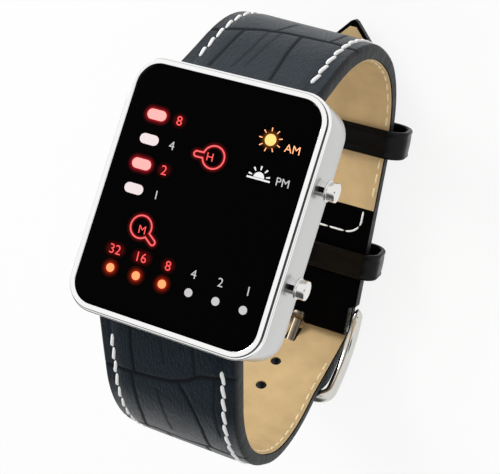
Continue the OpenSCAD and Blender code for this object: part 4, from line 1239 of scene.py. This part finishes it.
low_sun += [ray(*HALF_SUN, math.pi * (k + 0.35) / 4.7, 1.15, 1.75, 0.16, 0.28) for k in range(5)]
low_sun.append([(HALF_SUN[0] + x, HALF_SUN[1] + y)
                for x, y in ((-1.85, -0.34), (1.85, -0.34), (1.85, -0.06), (-1.85, -0.06))])
bubble_parts = []
for (x, y), tip in RINGED:
    bubble_parts.append(band_part(bubble(x, y, RING_R + LINE_T / 2, tip, STUB + LINE_T / 2),
                                  bubble(x, y, RING_R - LINE_T / 2, tip, STUB - LINE_T / 2), 0.001, PRINT_H))
for name, parts, mat, slot in (
    ("hour_lights_on", flat_parts(pills[::2]), RED_LIGHT, "hour_light"),
    ("hour_windows_off", flat_parts(pills[1::2]), WHITE_WINDOW_PAINTED_GLOW, "guide"),
    ("minute_lights_on", flat_parts(on_dots), ORANGE_LIGHT, "minute_light"),
    ("minute_windows_off", flat_parts(off_dots), GREY_WINDOW_PAINTED_GLOW, "guide"),
    ("red_numbers", text_parts(red_words), RED_PRINT, "hour_light"),
    ("white_numbers", text_parts(white_words), GREY_WINDOW_PAINTED_GLOW, "guide"),
    ("morning_letters", text_parts([("AM", 12.1, 11.45, LETTER_H)]), AMBER_PRINT, "icon_light"),
    ("sun_light", flat_parts([arc(*SUN, SUN_R)]), AMBER_LIGHT, "icon_light"),
    ("sun_rays", flat_parts(sun_rays), AMBER_PRINT, "icon_light"),
    ("low_sun_print", flat_parts(low_sun), WHITE_PRINT_PAINTED_GLOW, "guide"),
    ("mark_rings", bubble_parts, RED_LINE, "hour_light"),
):
    add_parts(name, parts, mat, slot, PRINT_SMOOTH)

RED_SPILL = (0.32, 0.012, 0.014)
PILL_SPILL = (0.6, 0.02, 0.03)
DOT_SPILL = (0.55, 0.03, 0.008)
SUN_SPILL = (0.3, 0.1, 0.02)
SHARES = (1.0, 0.5, 0.22, 0.07, 0.0)
glows = []


def spill(loops, color, shares):
    """A light's spill over rings of outlines, by its share at each."""
    glows.append(glow_part(loops, [tuple(c * k for c in color) for k in shares]))


for k in (0, 2):
    loops = [stadium(HOUR_X, hour_ys[k], PILL_L + g, PILL_W + g) for g in (-0.1, 0.2, 0.55, 1.0, 1.6)]
    spill(loops, PILL_SPILL, SHARES)
for x in minute_xs[:3]:
    spill([arc(x, MINUTE_Y, 0.62 + g) for g in (0.0, 0.16, 0.36, 0.6, 0.95)], DOT_SPILL, SHARES)
for text, x, y in red_numbers:
    wide = 1.1 * len(text) - 1
    loops = [stadium(x, y, wide + g, g) for g in (0.2, 1.2, 1.7, 2.2, 2.7)]
    spill(loops, RED_SPILL, (0.21, 0.2, 0.1, 0.03, 0.0))
for (x, y), tip in RINGED:
    loops = [bubble(x, y, RING_R + g, tip, STUB + g) for g in (0.0, 0.2, 0.4, 0.65)]
    spill(loops, RED_SPILL, (0.6, 0.3, 0.1, 0.0))
    loops = [bubble(x, y, RING_R - g, tip, max(STUB - g, 0.03)) for g in (0.0, 0.15, 0.28, 0.38)]
    spill(loops, RED_SPILL, (0.6, 0.4, 0.3, 0.25))
spill([arc(*SUN, 0.86 + g) for g in (0.0, 0.2, 0.45, 0.8)], SUN_SPILL, (0.8, 0.35, 0.1, 0.0))
add_glow("light_spill", glows)


# Finish of the solids that show as they are, or sit inside

finishes = {
    "chrome": CHROME, "steel": STEEL, "lens": LENS, "rubber": RUBBER, "adhesive": RUBBER,
    "mask": DARK_PLASTIC, "guide": PALE_PLASTIC, "board": BOARD, "hour_light": RED_LIGHT,
    "minute_light": ORANGE_LIGHT, "icon_light": AMBER_LIGHT, "chip": DARK_PLASTIC, "frame": PALE_PLASTIC,
    "contact": BRASS, "sheet": AMBER_FILM, "black_leather": LEATHER, "tan_leather": LINING,
    "keeper_leather": KEEPER_LEATHER,
}
for part in frame["record"]["subparts"]:
    mesh = frame["nodes"][part["node"]].data
    mesh.materials.clear()
    mesh.materials.append(finishes[part["material_slot"]])


# Stage

WHITE_SHARE = 0.84
SKY_LIGHT = 0.75
FLOOR_HALF = 2.0
KEY_AT = Vector((-560, 430, 310)) * MM
KEY_TOWARD = Vector((0, 20, 35)) * MM
KEY_SIZE = 0.34
KEY_POWER = 3.6
# What mirrors see: case frame direction, outer and inner angle, and brightness of each dark place
DARK_PLACES = (((0.36, -0.03, 0.93), 13, 9, 0.02), ((-0.3, -0.94, -0.02), 74, 36, 0.08))


def calculate(tree, operation, first, second):
    return add_node(tree, "Math", {0: first, 1: second}, operation=operation).outputs[0]


def ray_kind(tree, kind):
    return add_node(tree, "LightPath", {}).outputs[kind]


def seen_rays(tree):
    """1 for rays that show the background: straight, mirrored or through glass."""
    total = ray_kind(tree, "Is Camera Ray")
    for kind in ("Is Glossy Ray", "Is Transmission Ray"):
        total = calculate(tree, "MAXIMUM", total, ray_kind(tree, kind))
    return total


def add_floor():
    corners = [(sx * FLOOR_HALF, sy * FLOOR_HALF, 0) for sx, sy in ((-1, -1), (1, -1), (1, 1), (-1, 1))]
    mesh = bpy.data.meshes.new("floor")
    mesh.from_pydata(corners, [], [(0, 1, 2, 3)])
    floor = place_object("floor", mesh)
    mat, tree, shader = new_material("pale_floor", (0.92, 0.92, 0.92), 0.9)
    white = add_node(tree, "Emission", {"Strength": 1.0})
    seen = calculate(tree, "MULTIPLY", seen_rays(tree), WHITE_SHARE)
    mix = add_node(tree, "MixShader", {0: seen, 1: shader.outputs[0], 2: white.outputs[0]})
    feed(tree, tree.nodes["Material Output"], {"Surface": mix.outputs[0]})
    mesh.materials.append(mat)


def add_key():
    """One large soft lamp, from the upper left of the photograph."""
    light = bpy.data.lights.new("key", "AREA")
    light.shape = "DISK"
    light.size = KEY_SIZE
    light.energy = KEY_POWER
    aim = KEY_TOWARD - KEY_AT
    turn = aim.to_track_quat("-Z", "Y").to_matrix().to_4x4()
    place_object("key", light).matrix_world = Matrix.Translation(KEY_AT) @ turn


def add_world():
    """White all round, softer as light than as a background; mirrors also see a dark lens and a dim front."""
    world = bpy.data.worlds.new("studio")
    world.use_nodes = True
    tree = world.node_tree
    place = add_node(tree, "TexCoord", {}).outputs["Generated"]
    shades = []
    for axis, outer, inner, low in DARK_PLACES:
        toward = add_node(tree, "VectorMath", {0: place, 1: turn_to_row(axis).normalized()},
                          operation="DOT_PRODUCT").outputs["Value"]
        shades.append(spread(tree, toward, 1.0, low, math.cos(math.radians(outer)),
                             math.cos(math.radians(inner)), interpolation_type="SMOOTHSTEP"))
    mirrored = calculate(tree, "MULTIPLY", *shades)
    seen = calculate(tree, "MAXIMUM", ray_kind(tree, "Is Camera Ray"), mirrored)
    strength = add_node(tree, "Mix", {0: seen_rays(tree), 2: SKY_LIGHT, 3: seen}).outputs[0]
    feed(tree, tree.nodes["Background"], {"Color": (1, 1, 1, 1), "Strength": strength})
    bpy.context.scene.world = world


add_floor()
add_world()
add_key()
bpy.context.scene.view_settings.view_transform = "Standard"
